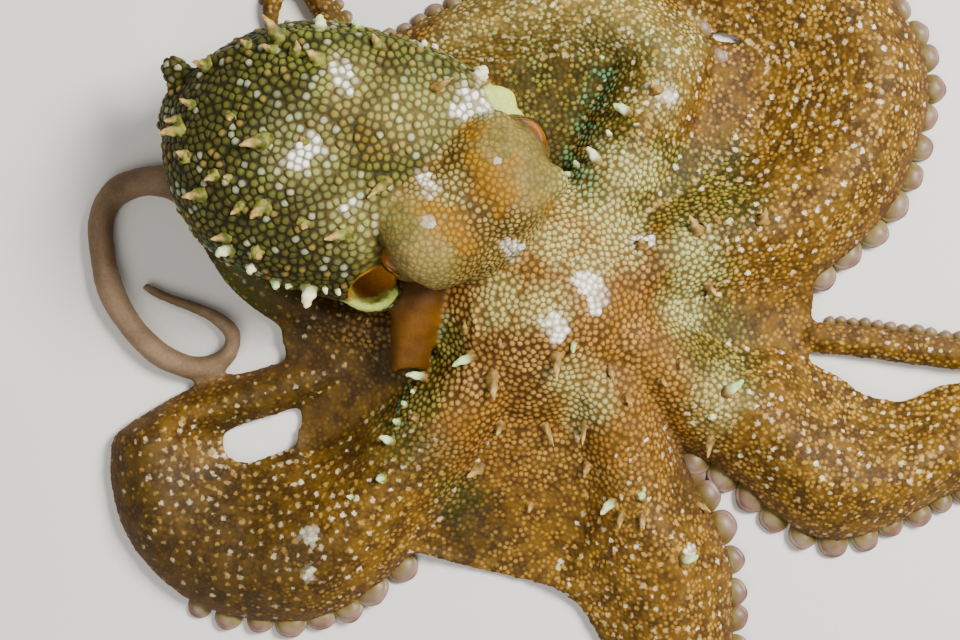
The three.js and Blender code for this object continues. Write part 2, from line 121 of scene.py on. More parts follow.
# Mantle stations: x, y, half width, underside z, top z.
MANTLE = [
    [-41, 37, 33, 20, 60], [-48, 40, 48, 15, 68], [-64, 47, 51.5, 14, 76], [-85, 54, 51, 13.5, 82],
    [-105, 60, 48, 13.5, 81], [-122, 66, 38.5, 15, 75], [-134, 70, 26, 20, 64], [-141, 73, 12, 28, 52],
]
MANTLE_LATERAL = np.array([[0.61, 0.79], [0.4, 0.92]])
APEX_FLAP = ((-140, 85, 47), (5, 7, 6))
SIDEWAYS = Vector((0.82, 0.575, 0)).normalized()   # from the right eye to the left
HEAD = [((-31, 35, 42), (30, 26, 28)), ((-32, 36, 56), (20, 20, 20)), ((-45, 46, 50), (20, 16, 20))]
BROWS = {"R": (-44, 26, 57), "L": (-19.5, 45, 57)}
BROW_RADII = (19.5, 22.5, 20)
LEFT_BROW_CORNERS = [(-1.4, 43.6, 58), (-20.2, 63.5, 58)]
BROW_CORNER_RADII = (7.6, 7.6, 11)
EYES = {"R": ((-53.3, 18.6, 54), (-0.885, -0.465)), "L": ((-11.5, 57, 54), (0.74, 0.67))}
EYE_RADIUS = 11
FUNNEL = [[-49, 10, 12, 15, 35], [-50, 0, 11.5, 14, 36], [-51, -10, 10, 15, 34], [-53, -20, 8.5, 17, 31],
          [-54, -28, 7.5, 18, 29]]
FUNNEL_BORE = 3.5

GILL_CUP = ((-68, 6.5, 33), (11, 12, 14))
GILL_POCKET = ((-67.5, 7, 44), (9, 8.6, 14))
GILL_LIP = [(-80, 11, 43), (-79.5, 5, 42), (-76, 0, 41.5), (-70, -2.8, 41), (-64, -2.3, 41), (-59, 0.6, 41.5), (-56, 4.5, 42)]
GILL_LIP_RADII = [0.9, 1.6, 2.2, 2.5, 2.4, 1.9, 0.8]
LEFT_FLAP = [(-29, 73, 52), (-22, 75.5, 51), (-16, 73.5, 50), (-12, 69, 49), (-10, 63, 48)]
LEFT_FLAP_RADII = [2, 4.6, 5, 3.6, 1.5]
EYE_TILT = 0.3
EYE_OPENING = (0.8, 0.55)
THIN_FROM = {"R3": (118, 150), "L3": (300, 330)}
EDGED = ("L1", "L2", "R1", "R2")        # arms with a bare mauve edge above the suckers
# Low folds in the skin: path, height and half width.
RIDGES = [
    ([(-128, 86), (-110, 92.5), (-92, 96), (-59, 94), (-41, 87), (-27, 76)], 1.6, 1.8),
    ([(-29, -21), (-27, -12), (-28.5, -3)], 1.2, 1.6),
]
# Colour patches: rows of x, y, radius.
SUCKER_STRETCH = {"L1": (0.2, 0.98), "L2": (0.23, 0.97), "L3": (0.2, 0.94), "R1": (0.23, 0.95), "R2": (0.26, 0.53)}

PATCHES = {
    # dark: partly darker, greener skin and partly painted shade on the mantle's far end and R2's outer side, which lie
    # away from the light
    "dark": [
        (-135, 60, 22), (-130, 40, 20), (-128, 82, 18), (-118, 28, 18), (-105, 14, 16), (-88, 8, 14),
        (-100, 60, 16), (-112, 96, 14), (-150, -110, 30), (-165, -80, 24), (-120, -125, 24), (-90, -30, 30),
        (-110, -45, 22), (-70, -30, 20), (-88, -8, 24), (-110, 5, 20), (-60, -12, 14), (2, 60, 6),
        (-30, -90, 14), (60, -70, 10), (-48, -60, 12), (-92, 28, 14), (-127, -90, 26), (-100, -105, 18),
    ],
    "plain": [
        (-150, -100, 34), (-120, -95, 34), (-92, -85, 30), (-70, -62, 24), (-105, -48, 30), (-75, -30, 24),
        (-145, -65, 30), (-60, -25, 16), (-88, -8, 26), (-112, 6, 20),
    ],
    "white": [
        (2.3, -9.9, 5.5), (-0.3, -8.8, 4), (3.1, -14, 4.2), (5, -9.9, 3.6), (15.6, 5.2, 5),
        (17.9, 0.7, 4.6), (12.5, 6.4, 3.8), (17.1, -3.5, 3.2), (-16.4, 20.5, 2.2), (-14.8, 17.4, 2.6),
        (-12.6, 20.3, 1.8), (-13.1, 14.7, 1.6), (-10.6, 19.8, 1.4), (-87, 54.8, 5.5), (-89.5, 52.3, 5),
        (-90.6, 47.6, 3.4), (-94.2, 49.4, 3.2), (-75.9, 81.6, 4.4), (-74.7, 76.7, 4.2), (-76.7, 85.4, 3),
        (-46.1, 43.2, 3.6), (-43.2, 41, 3.4), (-44.9, 37.4, 2.6), (-27.8, 72.3, 6), (-24.1, 70.8, 4.5),
        (-32.6, 69.3, 4.5), (-30.8, 74.3, 4.5), (-44, 27.4, 3), (35.4, 21.5, 3.4), (38.6, 22.8, 2.6),
        (-20.6, 48.6, 1.8), (-19.1, 49.4, 1.2), (-74.9, 31.9, 2.4), (-71.3, 35.5, 2), (-92, -91.5, 4),
        (-92, -107, 3), (41.8, 81.1, 4), (47.7, 79.3, 4), (55.8, -98.3, 3),
    ],
    "cream": [
        (12.3, 38, 9), (20, 34.1, 9), (4.7, 41.1, 7), (29.6, 29.6, 8), (29.9, 51.7, 9), (37.9, 50.1, 8),
        (22.3, 53.8, 7), (54.7, 18.9, 9), (59, 11.3, 8), (52, -4.1, 9), (68.6, -36.9, 10),
        (65.1, -46.7, 7), (43.7, 79.1, 9), (17.6, 14.7, 8), (-40.5, 35.5, 8), (-57, 30.2, 8),
        (-47.7, 17.3, 9), (-33.4, 73, 9), (-26, 71.7, 9), (-90.6, 53, 14), (-74.7, 78.6, 10),
        (-47.8, 68.5, 14), (-73.2, 28.3, 12), (4.3, 22.3, 9), (27.4, 22.5, 8), (-18.4, -0.4, 9),
        (-1.5, -4.2, 9), (16.2, -38.7, 9), (8.3, -30.9, 8), (-30, 105, 12), (-8, 112, 14), (14, 113, 14),
        (34, 110, 14), (50, 100, 12),
    ],
    "green": [
        (-44.5, 90, 10), (-81.1, 98.5, 12), (-99.3, 96.5, 12), (-118.3, 91.7, 14), (-129.2, 80.5, 14),
        (-128, 64.9, 14), (-131.8, 50.4, 12), (-120.3, 35.5, 14), (-116.6, 75.4, 16), (-109.7, 86.6, 16),
        (-91.5, 92, 14), (-105.2, 67.6, 16), (-112.4, 53.2, 16), (-109.7, 21.1, 12), (-123.9, 42.8, 14),
        (12.8, 48.3, 9), (20.2, 43.9, 10), (16.6, 52.1, 8), (36, 42.4, 14), (55.4, 32.7, 14),
        (28.1, 61.5, 10), (44.1, 54.3, 12), (-2.2, 87.2, 16), (9.6, 75.1, 18), (21.4, 94.6, 14),
        (17.5, 82.9, 14), (5.6, 63.1, 12), (1.7, 75.2, 14), (24.7, 74, 12), (36.3, 93.3, 12),
        (58.8, 15.1, 14), (60.2, -4.1, 14), (63.6, -19.7, 12), (71.2, -27.4, 12), (68.4, -11.9, 10),
        (-41.4, -15.7, 9), (-45.6, -23.6, 9), (-49.3, -39, 10), (-57, -50.7, 10), (-33.9, -79, 10),
        (-118.8, 14.3, 14), (-116.7, 5.8, 12), (-129.2, 11.8, 10), (52.5, 47, 14), (71.2, 38.7, 14),
        (68.6, 51.1, 12),
    ],
    "aqua": [
        (12.8, 49.5, 6), (16.4, 44, 6), (9.3, 54.8, 4), (21.4, 86.8, 6), (12.7, 71.8, 3),
        (17.1, 66.4, 3), (15.2, 64.6, 3), (20.5, 57.9, 4), (17.5, 80.9, 4), (21.2, 78.6, 4),
        (-42.5, -10.7, 1.6), (-42.2, -15.7, 1.8), (-45.2, -20.9, 1.7), (-47.4, -1.5, 0.9),
        (-41.3, -7.2, 1), (-18.7, 61.3, 4), (-20.3, 67.9, 4), (-57.3, -41.2, 1.6), (-59.1, -48.1, 2),
        (-57.7, -37.4, 1.2), (-61.7, -54.6, 1.5), (-120.7, 9.7, 8), (-123.3, 3.9, 5), (-126.8, 13.7, 6),
    ],
    "amber": [
        (-41.5, 32.5, 5.5), (-37.5, 27.7, 7), (-34, 22.5, 5.5), (-27.5, 48.5, 4.5), (-22.5, 43.5, 6),
        (-18, 39.5, 6), (-14.5, 36, 4.5), (-18.5, 31.5, 3.5), (-12.6, 47.4, 3.5), (-27.8, 61.6, 5),
        (-30.4, 61, 4), (0.7, 34, 4), (-60.5, 82.1, 4), (-38.9, 80.2, 3), (-72.8, 67.6, 8),
        (-79.9, 62.1, 7), (-55, 60.9, 8), (-65.7, 57, 8), (6.1, 16.6, 4), (-7.1, 13.5, 3),
        (-18.2, -46.9, 10), (-27.9, -48.5, 6), (27.9, -58.1, 12), (52.4, -51.1, 8), (4.7, -42.6, 6),
        (23.3, -4.2, 14), (35.1, -8, 12), (15.8, -23.2, 14), (31.5, -27.2, 12), (-18.1, -79.1, 16),
        (5.6, -87, 16), (24.9, -101.9, 16), (51.7, -116.7, 16),
    ],
}
# Papillae: x, y of the foot, lean in x and y, and the foot's radius.
PAPILLAE = {
    "tan": [
        (-100, 96.1, -5.9, 5.9, 1.8), (-92.4, 88.8, -1.8, 4.4, 1.4), (-101.3, 90.2, -2.9, 1.5, 1.3),
        (-84.6, 86.1, -6.2, 2.9, 1.8), (-63.3, 92.3, -3.3, 4.4, 1.5), (-104.3, 56.3, -7.5, -4.3, 2),
        (-104.6, 32.8, -3.6, -5, 2), (-75.2, 23.3, -8, -3.6, 1.7), (-112.8, 32.9, -2.9, -2.2, 1.3),
        (-121.9, 44.1, -4.3, -1.1, 1.4), (-60.5, 41.8, -8, -4.7, 1.5), (-136.3, 61.9, -5.9, -2.9, 1.8),
        (-137, 65.4, -4.1, -1.5, 1.4), (-133.4, 51.9, -3.7, -0.7, 1.6), (-127.6, 37.9, -5.5, -1.8, 1.7),
        (-128.4, 101.6, -2, 3.6, 1.6), (-111.1, 92.5, -1.1, 1.8, 1.2), (-116.3, 65.3, 0.7, -1.1, 1.2),
        (-89.5, 56.6, -1.1, 0, 1.2), (-118.8, 22.3, -4.4, -1.1, 1.4), (-107.2, 16.5, -1.1, -1.8, 1.6),
        (-89.7, 26.7, -1.4, -1.4, 1.5), (-117, 43.3, -2.5, 0, 1.2), (-127.1, 86.1, -3.3, 0.4, 1.6),
        (-131.7, 70.9, -3.7, 1.1, 1.2), (-42.1, 77, 5.9, 3.7, 1.2),
        (3.2, -22, -1.1, -7.6, 1.5), (14.7, -48.3, 0.8, -7.4, 1.1), (-21.4, -30.2, 0, -7.6, 1.8),
        (-26.8, -66.6, -7.1, -2, 1.8), (57.6, 26.7, -2.3, 6.2, 1.6), (83.4, 30.7, 0.8, 5, 1.6),
        (62.9, 5.6, 3.1, -3.1, 1.4), (41.8, 81.1, -0.8, 3.9, 1.5), (28.7, -83.6, 0.4, -6.2, 1.2),
        (36.3, -83.4, 1.2, -5.4, 1.2), (50.9, -24.2, 0.8, -3.8, 1.1), (30.1, -37.6, 1.5, -4.2, 1.2),
        (16.2, -65.1, -0.8, -3.5, 1.2), (36.1, 20.8, -0.8, 2.7, 1.3), (-51.2, -45.9, -1.5, -0.8, 1.1),
        (-18.2, -49, -1.6, -3.1, 1.2), (44, -31.1, 2.3, -3.1, 1), (64, -54.9, -1.6, -5.9, 1.3),
        (-18.4, -17.5, 1.1, 3.8, 1), (23.6, -27.1, 0.8, -3.8, 1), (-6.2, -81.1, -0.8, -3.2, 1),
        (-0.6, -49, 3.1, -8.6, 1.1), (-31.7, -11.8, 1.1, 3.1, 1), (60.9, -81.1, 2.8, -3.9, 1.1),
    ],
    "white": [
        (-123.2, 104, -1.2, 3.2, 2.2), (-84.8, 99.4, 0, 2.9, 2.2), (-71.6, 100.3, -1.1, 1.1, 1.8),
        (-71.6, 108.8, 0, 1.6, 2), (-68.4, 108, 0, 1.2, 1.5), (-26.7, 82.4, 3.4, 1.1, 3),
        (-118.6, 18.4, -2.6, -2.6, 2.2), (-110.3, 12, 0, -2.6, 1.9), (-102, 6.6, -0.7, -1.9, 1.7),
        (-96.9, 5.4, -0.4, -1.5, 1.2), (-89.3, 4.3, -1.1, -6, 2.6), (-83.6, 4.3, 0.4, -1.9, 1),
        (-78.9, 3.2, 0.7, -2.6, 1), (-44.1, 99, 1.2, 1.6, 1.6), (-46.9, 94.4, 0, 1.1, 1.4),
        (-47.8, -29.8, -6.6, -0.8, 1.7), (-29.8, -22.1, -6.5, -2.7, 1.7), (-60.5, -54.9, -4.3, 1.6, 1.6),
        (-57.9, -47.7, -1.9, -0.4, 1.3), (-55.3, -41.2, -1.2, 0.8, 1.1), (-51.9, -35.8, -0.8, -0.4, 0.9),
        (-63.9, -69, -2.3, -0.8, 1.5), (19.3, 53.9, -3.1, 6.2, 1.9), (12.2, 52, -0.4, 3.1, 1.3),
        (24.4, 63.7, -1.2, 1.9, 1.1), (31, 72.6, -4.7, 2.7, 1.9), (36.2, -76, 0, 1.5, 1.6),
        (9.6, -16.7, -0.4, -3.8, 1.1), (9.1, 48.6, -1.6, 1.2, 1), (-75.6, -76.6, -1.9, 0, 1),
        (25.3, -78.8, -4.7, -5.1, 1.7), (69.8, -35.8, 6.2, 3.5, 1.9), (53.2, -101.6, 4.3, 2.7, 1.7),
        (63.8, -45.6, 0, 1.2, 1.4),
    ],
}

SKIN_VOXEL = 1.35      # the joined body is remeshed at this size, then refined
FLOOR_CLEAR = 0.7      # the skin's underside, just above the suckers' rims
CAMERA = (-26, -8, 800)
LENS = 75
# Lamps: name, place in metres, width in metres, watts.
LAMPS = [("key", (0.7, 0.35, 1.0), 0.45, 44), ("fill", (-0.5, -0.6, 1.0), 0.9, 9)]


# ---- Small helpers ----
def smoothstep(low, high, value):
    t = np.clip((value - low) / (high - low), 0, 1)
    return t * t * (3 - 2 * t)


def hermite(rows, knots, at):
    """A smooth curve through rows of values at the given knots."""
    rows = np.asarray(rows, float)
    at = np.clip(np.asarray(at, float), knots[0], knots[-1])
    i = np.clip(np.searchsorted(knots, at, side="right") - 1, 0, len(rows) - 2)
    after = np.minimum(np.arange(len(rows)) + 1, len(rows) - 1)
    before = np.maximum(np.arange(len(rows)) - 1, 0)
    slope = (rows[after] - rows[before]) / (knots[after] - knots[before])[:, None]
    span = (knots[i + 1] - knots[i])[:, None]
    t = ((at - knots[i]) / (knots[i + 1] - knots[i]))[:, None]
    return ((2 * t**3 - 3 * t**2 + 1) * rows[i] + (t**3 - 2 * t**2 + t) * span * slope[i]
            + (3 * t**2 - 2 * t**3) * rows[i + 1] + (t**3 - t**2) * span * slope[i + 1])


def unit(vectors):
    return vectors / np.maximum(np.linalg.norm(vectors, axis=-1, keepdims=True), 1e-9)


def path_distance(spots, path):
    """Distance from each spot to a line of straight runs."""
    path = np.asarray(path, float)
    best = np.full(len(spots), np.inf)
    for a, b in zip(path[:-1], path[1:]):
        t = np.clip((spots - a) @ (b - a) / ((b - a) @ (b - a)), 0, 1)
        best = np.minimum(best, np.linalg.norm(spots - a - t[:, None] * (b - a), axis=1))
    return best


class Arm:
    """An arm's route, read at shares 0 to 1 of its run."""

    def __init__(self, rows):
        self.rows = np.array(rows, float)
        middle = (self.rows[:, :2] + self.rows[:, 2:4]) / 2
        steps = np.linalg.norm(np.diff(middle, axis=0), axis=1)
        self.knots = np.concatenate([[0], np.cumsum(steps)])
        self.total = self.knots[-1]

    def at(self, share):
        return hermite(self.rows, self.knots, np.atleast_1d(share) * self.total)

    def crest(self, share):
        row = self.at(share)
        outer, inner, height = row[:, :2], row[:, 2:4], row[:, 4]
        width = np.linalg.norm(inner - outer, axis=1)
        reach = np.minimum(width / 2, height)
        return outer + (inner - outer) * (reach / width)[:, None], height


arms = {name: Arm(rows) for name, rows in ARMS.items()}


def arch_height(q, reach, height):
    """Height of an arm's skin at a share q of the way from its crest to an edge."""
    web = np.maximum(0, 1 - TUBE_RATIO * height / reach)
    tube = np.sqrt(1 - 0.92 * q * q)
    bell = 0.5 * (1 + np.cos(np.pi * q))
    return EDGE + (height - EDGE) * ((1 - web) * tube + web * bell)


# What the skin is like at each point, from 0 to 1.
ZONES = ("mantle", "head", "funnel", "arm", "thin", "edge", "lip")


class Body:
    """Closed shapes that together make the body."""

    def __init__(self):
        self.points, self.faces, self.zones, self.count = [], [], [], 0

    def add(self, points, faces, **zones):
        table = np.zeros((len(points), len(ZONES)))
        for name, value in zones.items():
            table[:, ZONES.index(name)] = value
        self.points.append(points)
        self.faces.append(faces + self.count)
        self.zones.append(table)
        self.count += len(points)

    def add_rings(self, rings, **zones):
        """A closed tube through rings of points, with a middle point at each end."""
        rings = np.asarray(rings, float)
        count, ring = rings.shape[:2]
        points = np.concatenate([rings.reshape(-1, 3), rings[:1].mean(axis=1), rings[-1:].mean(axis=1)])
        i, j = np.meshgrid(np.arange(count - 1), np.arange(ring), indexing="ij")
        a = (i * ring + j).ravel()
        b = (i * ring + (j + 1) % ring).ravel()
        k, ahead = np.arange(ring), (np.arange(ring) + 1) % ring
        end, last = count * ring, (count - 1) * ring
        faces = np.concatenate([
            np.stack([a, b, b + ring], 1), np.stack([a, b + ring, a + ring], 1),
            np.stack([np.full(ring, end), ahead, k], 1),
            np.stack([np.full(ring, end + 1), last + k, last + ahead], 1)])
        a, b, c = (points[faces[:, side]] for side in range(3))
        if np.einsum("ij,ij->i", a, np.cross(b, c)).sum() < 0:
            faces = faces[:, ::-1]
        for name, value in zones.items():
            if np.ndim(value):
                zones[name] = np.concatenate([value.reshape(-1), [value[0].mean(), value[-1].mean()]])
        self.add(points, faces, **zones)


body = Body()


# ---- Arms, webs and crown ----
def add_arm(name, arm):
    shares = np.linspace(0, 1, int(arm.total / 2.2))
    rows = arm.at(shares)
    outer, inner, height = rows[:, :2], rows[:, 2:4], rows[:, 4]
    width = np.linalg.norm(inner - outer, axis=1)
    side = (inner - outer) / width[:, None]
    crest = np.minimum(width / 2, height)
    reaches = np.stack([crest, width - crest], 1)
    tuck = np.minimum(0.22 * height[:, None], 0.3 * reaches)
    q = np.linspace(-1, 1, 29)
    reach = np.where(q[None] < 0, reaches[:, :1], reaches[:, 1:])
    s_top = crest[:, None] + q[None] * reach
    z_top = arch_height(np.abs(q)[None], reach, height[:, None])
    low = (width - tuck[:, 1])[:, None]
    s_low = low + (tuck[:, :1] - low) * np.linspace(0, 1, 12)[None]
    s = np.concatenate([s_top, s_low], 1)
    z = np.concatenate([z_top, np.full_like(s_low, FLOOR_CLEAR)], 1)
    rings = np.dstack([outer[:, :1] + side[:, :1] * s, outer[:, 1:] + side[:, 1:] * s, z])
    tip = rings[-1].mean(axis=0)
    ahead = unit(tip - rings[-2].mean(axis=0))
    caps = [tip + (rings[-1] - tip) * math.cos(turn) + ahead * height[-1] * 0.5 * math.sin(turn)
            for turn in (0.5, 0.9, 1.25)]
    along = np.append(shares * arm.total, [arm.total] * len(caps))[:, None] + 0 * s[:1]
    thin = smoothstep(*THIN_FROM[name], along) if name in THIN_FROM else 0 * along
    edge = smoothstep(8, 1, np.concatenate([s, np.repeat(s[-1:], len(caps), axis=0)])) * (name in EDGED)
    body.add_rings(np.concatenate([rings, caps]), arm=smoothstep(30, 75, along), thin=thin, edge=edge)


def add_web(name_a, reach_a, name_b, reach_b, control):
    u, v = np.linspace(0, 1, 26), np.linspace(0, 1, 34)
    crest_a, height_a = arms[name_a].crest(WEB_START + (reach_a - WEB_START) * u)
    crest_b, height_b = arms[name_b].crest(WEB_START + (reach_b - WEB_START) * u)
    chord = crest_a[:, None] * (1 - v)[:, None] + crest_b[:, None] * v[:, None]
    free = np.outer((1 - v)**2, crest_a[-1]) + np.outer(2 * v * (1 - v), control) + np.outer(v**2, crest_b[-1])
    spots = chord + (free - chord[-1])[None] * (u**2)[:, None, None]
    crest_z = (height_a[:, None] * (1 - v) + height_b[:, None] * v) * WEB_CREST_SHARE
    low = np.minimum(WEB_CROWN_HEIGHT, crest_z) * (1 - u)[:, None] + WEB_EDGE_HEIGHT * u[:, None]
    z = crest_z + (low - crest_z) * np.sin(np.pi * v)
    under = np.dstack([spots[:, ::-1], np.full_like(z, FLOOR_CLEAR)])
    rings = np.concatenate([np.dstack([spots, z]), under], 1)
    body.add_rings(rings, arm=smoothstep(35, 90, np.linalg.norm(rings[..., :2], axis=2)))


def add_crown():
    angle = np.linspace(0, 2 * np.pi, 72, endpoint=False)
    share = np.linspace(1, 0.02, 14)
    radius = np.concatenate([[0.1, CROWN_RADIUS], share * CROWN_RADIUS])
    z = np.concatenate([[FLOOR_CLEAR] * 2, CROWN_TOP - (CROWN_TOP - CROWN_RIM) * share**2])
    body.add_rings(np.dstack([np.outer(radius, np.cos(angle)), np.outer(radius, np.sin(angle)),
                              np.outer(z, np.ones_like(angle))]))


# ---- Head, mantle and funnel ----
SIDE = np.array(SIDEWAYS)
FRONT = np.array([SIDE[1], -SIDE[0], 0])      # the way the head looks, away from the mantle


def add_round(target, centre, radii, squareness=2, **zones):
    """A rounded lump turned with the head; a squareness over 2 makes it boxier."""
    power = lambda value: np.sign(value) * np.abs(value) ** (2 / squareness)
    lat = np.linspace(0.03, np.pi - 0.03, 26)
    lon = np.linspace(0, 2 * np.pi, 52, endpoint=False)
    girth = power(np.sin(lat))[:, None]
    rings = (np.asarray(centre, float) + (girth * power(np.cos(lon)) * radii[0])[..., None] * SIDE
             + (girth * power(np.sin(lon)) * radii[1])[..., None] * FRONT
             + (power(np.cos(lat))[:, None] * np.ones_like(lon) * radii[2])[..., None] * np.array([0, 0, 1]))
    target.add_rings(rings, **zones)


def add_tube(path, radii, **zones):
    """A round cord of skin through a path of points, thin at both ends."""
    knots = np.arange(len(path), dtype=float)
    at = np.linspace(0, len(path) - 1, 40)
    line = hermite(path, knots, at)
    radius = hermite(np.array(radii)[:, None], knots, at)
    ahead = unit(np.gradient(line, axis=0))
    across = unit(np.cross(ahead, [0, 0, 1]))
    up = np.cross(across, ahead)
    turn = np.linspace(0, 2 * np.pi, 16, endpoint=False)
    rings = (line[:, None] + radius[:, None] * (across[:, None] * np.cos(turn)[:, None]
                                                + up[:, None] * np.sin(turn)[:, None]))
    body.add_rings(rings, **zones)


def round_rings(rows, sides, exponent, points=56):
    angle = np.linspace(0, 2 * np.pi, points, endpoint=False)
    power = lambda value: np.sign(value) * np.abs(value) ** (2 / exponent)
    across = power(np.cos(angle))[None] * rows[:, 2:3]
    z = (rows[:, 3:4] + rows[:, 4:5]) / 2 + power(np.sin(angle))[None] * (rows[:, 4:5] - rows[:, 3:4]) / 2
    return np.dstack([rows[:, :1] + sides[:, :1] * across, rows[:, 1:2] + sides[:, 1:2] * across, z])


def mantle_rings():
    at = np.linspace(0, len(MANTLE) - 1, 60)
    rows = hermite(MANTLE, np.arange(len(MANTLE), dtype=float), at)
    turn = np.clip(at / 4, 0, 1)[:, None]
    sides = unit(MANTLE_LATERAL[0] * (1 - turn) + MANTLE_LATERAL[1] * turn)
    last = rows[-1]
    ahead = unit(last[:2] - rows[-2, :2])
    middle, half = (last[3] + last[4]) / 2, (last[4] - last[3]) / 2
    caps = [[*(last[:2] + ahead * 5 * math.sin(turn)), last[2] * math.cos(turn),
             middle - half * math.cos(turn), middle + half * math.cos(turn)] for turn in (0.4, 0.8, 1.15, 1.4)]
    return round_rings(np.concatenate([rows, caps]), np.concatenate([sides, np.repeat(sides[-1:], 4, 0)]), 2.3)


def funnel_rings(rows):
    side = np.array([[1, 0.1]]) / math.hypot(1, 0.1)
    fine = hermite(rows, np.arange(len(rows), dtype=float), np.linspace(0, len(rows) - 1, 24))
    return round_rings(fine, np.repeat(side, 24, axis=0), 2, 32)


for arm_name, arm in arms.items():
    add_arm(arm_name, arm)
for web in WEBS:
    add_web(*web)
add_crown()
body.add_rings(mantle_rings(), mantle=1)
add_round(body, *APEX_FLAP, mantle=1)
for lump in HEAD:
    add_round(body, *lump, 2.3, head=1)
for centre in LEFT_BROW_CORNERS:
    add_round(body, centre, BROW_CORNER_RADII, 2.4, head=1)
for centre in BROWS.values():
    add_round(body, centre, BROW_RADII, 2.5, head=1)
add_round(body, *GILL_CUP, mantle=1)
add_tube(GILL_LIP, GILL_LIP_RADII, mantle=1, lip=1)
add_tube(LEFT_FLAP, LEFT_FLAP_RADII, mantle=1, lip=1)
body.add_rings(funnel_rings(FUNNEL), funnel=1)

cutter = Body()
add_round(cutter, *GILL_POCKET)
bore = [[x, y, FUNNEL_BORE, (low + high) / 2 - FUNNEL_BORE, (low + high) / 2 + FUNNEL_BORE]
        for x, y, _, low, high in [*FUNNEL[2:], [-55, -38, 0, 18, 29]]]
cutter.add_rings(funnel_rings(bore))


# ---- One skin over all of it ----
def new_object(name, points, faces):
    mesh = bpy.data.meshes.new(name)
    mesh.from_pydata((np.asarray(points) * MM).tolist(), [], np.asarray(faces).tolist())
    mesh.polygons.foreach_set("use_smooth", [True] * len(mesh.polygons))
    mesh.update()
    made = bpy.data.objects.new(name, mesh)
    bpy.context.scene.collection.objects.link(made)
    return made


def remeshed_body():
    """The shapes as one closed surface of quads, with the gill pocket and the funnel's bore cut in."""
    shape = new_object("shape", np.concatenate(body.points), np.concatenate(body.faces))
    hole = new_object("hole", np.concatenate(cutter.points), np.concatenate(cutter.faces))
    for kind in ("REMESH", "BOOLEAN", "REMESH"):
        modifier = shape.modifiers.new(kind, kind)
        if kind == "REMESH":
            modifier.mode = "VOXEL"
            modifier.voxel_size = SKIN_VOXEL * MM
        else:
            modifier.object = hole
            modifier.operation = "DIFFERENCE"
            modifier.solver = "EXACT"
    mesh = shape.evaluated_get(bpy.context.evaluated_depsgraph_get()).to_mesh()
    spots = np.empty(len(mesh.vertices) * 3)
    mesh.vertices.foreach_get("co", spots)
    quads = np.array([p.vertices for p in mesh.polygons if len(p.vertices) == 4])
    bpy.data.objects.remove(shape)
    bpy.data.objects.remove(hole)
    return spots.reshape(-1, 3) / MM, quads


def zones_at(spots):
    """The zones of the nearest shape, read at each spot."""
    base, faces, table = (np.concatenate(part) for part in (body.points, body.faces, body.zones))
    tree = BVHTree.FromPolygons(base.tolist(), faces.tolist())
    found = [tree.find_nearest(spot)[::2] for spot in spots.tolist()]
    corners = faces[[face for _, face in found]]
    near = np.array([place for place, _ in found])
    a, b, c = (base[corners[:, k]] for k in range(3))
    area = np.stack([np.linalg.norm(np.cross(p - near, q - near), axis=1) for p, q in ((b, c), (c, a), (a, b))], 1)
    weight = area / np.maximum(area.sum(axis=1, keepdims=True), 1e-9)
    return np.einsum("ik,ikz->iz", weight, table[corners])


def edges_of(quads, ngons):
    pairs = [np.stack([quads, np.roll(quads, -1, axis=1)], 2).reshape(-1, 2)]
    pairs += [np.stack([ngon, np.roll(ngon, -1)], 1) for ngon in ngons]
    return np.unique(np.sort(np.concatenate(pairs), axis=1), axis=0)


def smoothed(table, edges, rounds, share=0.5):
    """Each row drawn towards the mean of its neighbours."""
    size = len(table)
    degree = np.maximum(np.bincount(edges.ravel(), minlength=size), 1)[:, None]
    for _ in range(rounds):
        total = np.stack([np.bincount(edges[:, 0], column[edges[:, 1]], size)
                          + np.bincount(edges[:, 1], column[edges[:, 0]], size) for column in table.T], 1)
        table = table + share * (total / degree - table)
    return table


def refined(table, quads, ngons, chosen):
    """The chosen quads split in four; what borders on them keeps its shape and gains the new corners."""
    size = len(table)
    code = lambda a, b: np.minimum(a, b) * size + np.maximum(a, b)
    ahead = np.roll(quads, -1, axis=1)
    codes = code(quads, ahead)
    split = np.unique(codes[chosen])
    middles = (table[split // size] + table[split % size]) / 2
    centres = table[quads[chosen]].mean(axis=1)
    middle_of = lambda values: size + np.searchsorted(split, values)
    corner, mids = quads[chosen], middle_of(codes[chosen])
    centre = size + len(split) + np.arange(len(corner))
    back = np.roll(mids, 1, axis=1)
    small = [np.stack([corner[:, k], mids[:, k], centre, back[:, k]], 1) for k in range(4)]
    rest = ~chosen
    touched = rest & np.isin(codes, split).any(axis=1)
    grown = []
    for ngon in [*quads[touched], *ngons]:
        loop = []
        for a, b in zip(ngon, np.roll(ngon, -1)):
            loop.append(a)
            spot = np.searchsorted(split, code(a, b))
            if spot < len(split) and split[spot] == code(a, b):
                loop.append(size + spot)
        grown.append(np.array(loop))
    return (np.concatenate([table, middles, centres]),
            np.concatenate([quads[rest & ~touched], *small]), grown)


def normals_of(spots, quads):
    across = np.cross(spots[quads[:, 2]] - spots[quads[:, 0]], spots[quads[:, 3]] - spots[quads[:, 1]])
    total = np.stack([sum(np.bincount(quads[:, k], axis, len(spots)) for k in range(4)) for axis in across.T], 1)
    return unit(total)


def blobs(spots, rows, softness=1.0):
    """How strongly round patches, rows of x, y and radius, cover each spot."""
    cover = np.zeros(len(spots))
    for x, y, radius in rows:
        far = np.hypot(spots[:, 0] - x, spots[:, 1] - y) / radius
        cover = np.maximum(cover, np.clip(1.5 - far / softness, 0, 1))
    return cover


import time
clock = time.time()
def lap(what):
    global clock
    print("LAP", what, round(time.time() - clock, 2)); clock = time.time()

spots, quads = remeshed_body()
lap("remesh %d" % len(quads))
edges = edges_of(quads, [])
spots = smoothed(spots, edges, 5)
zones = smoothed(zones_at(spots), edges, 3)
lap("zones")


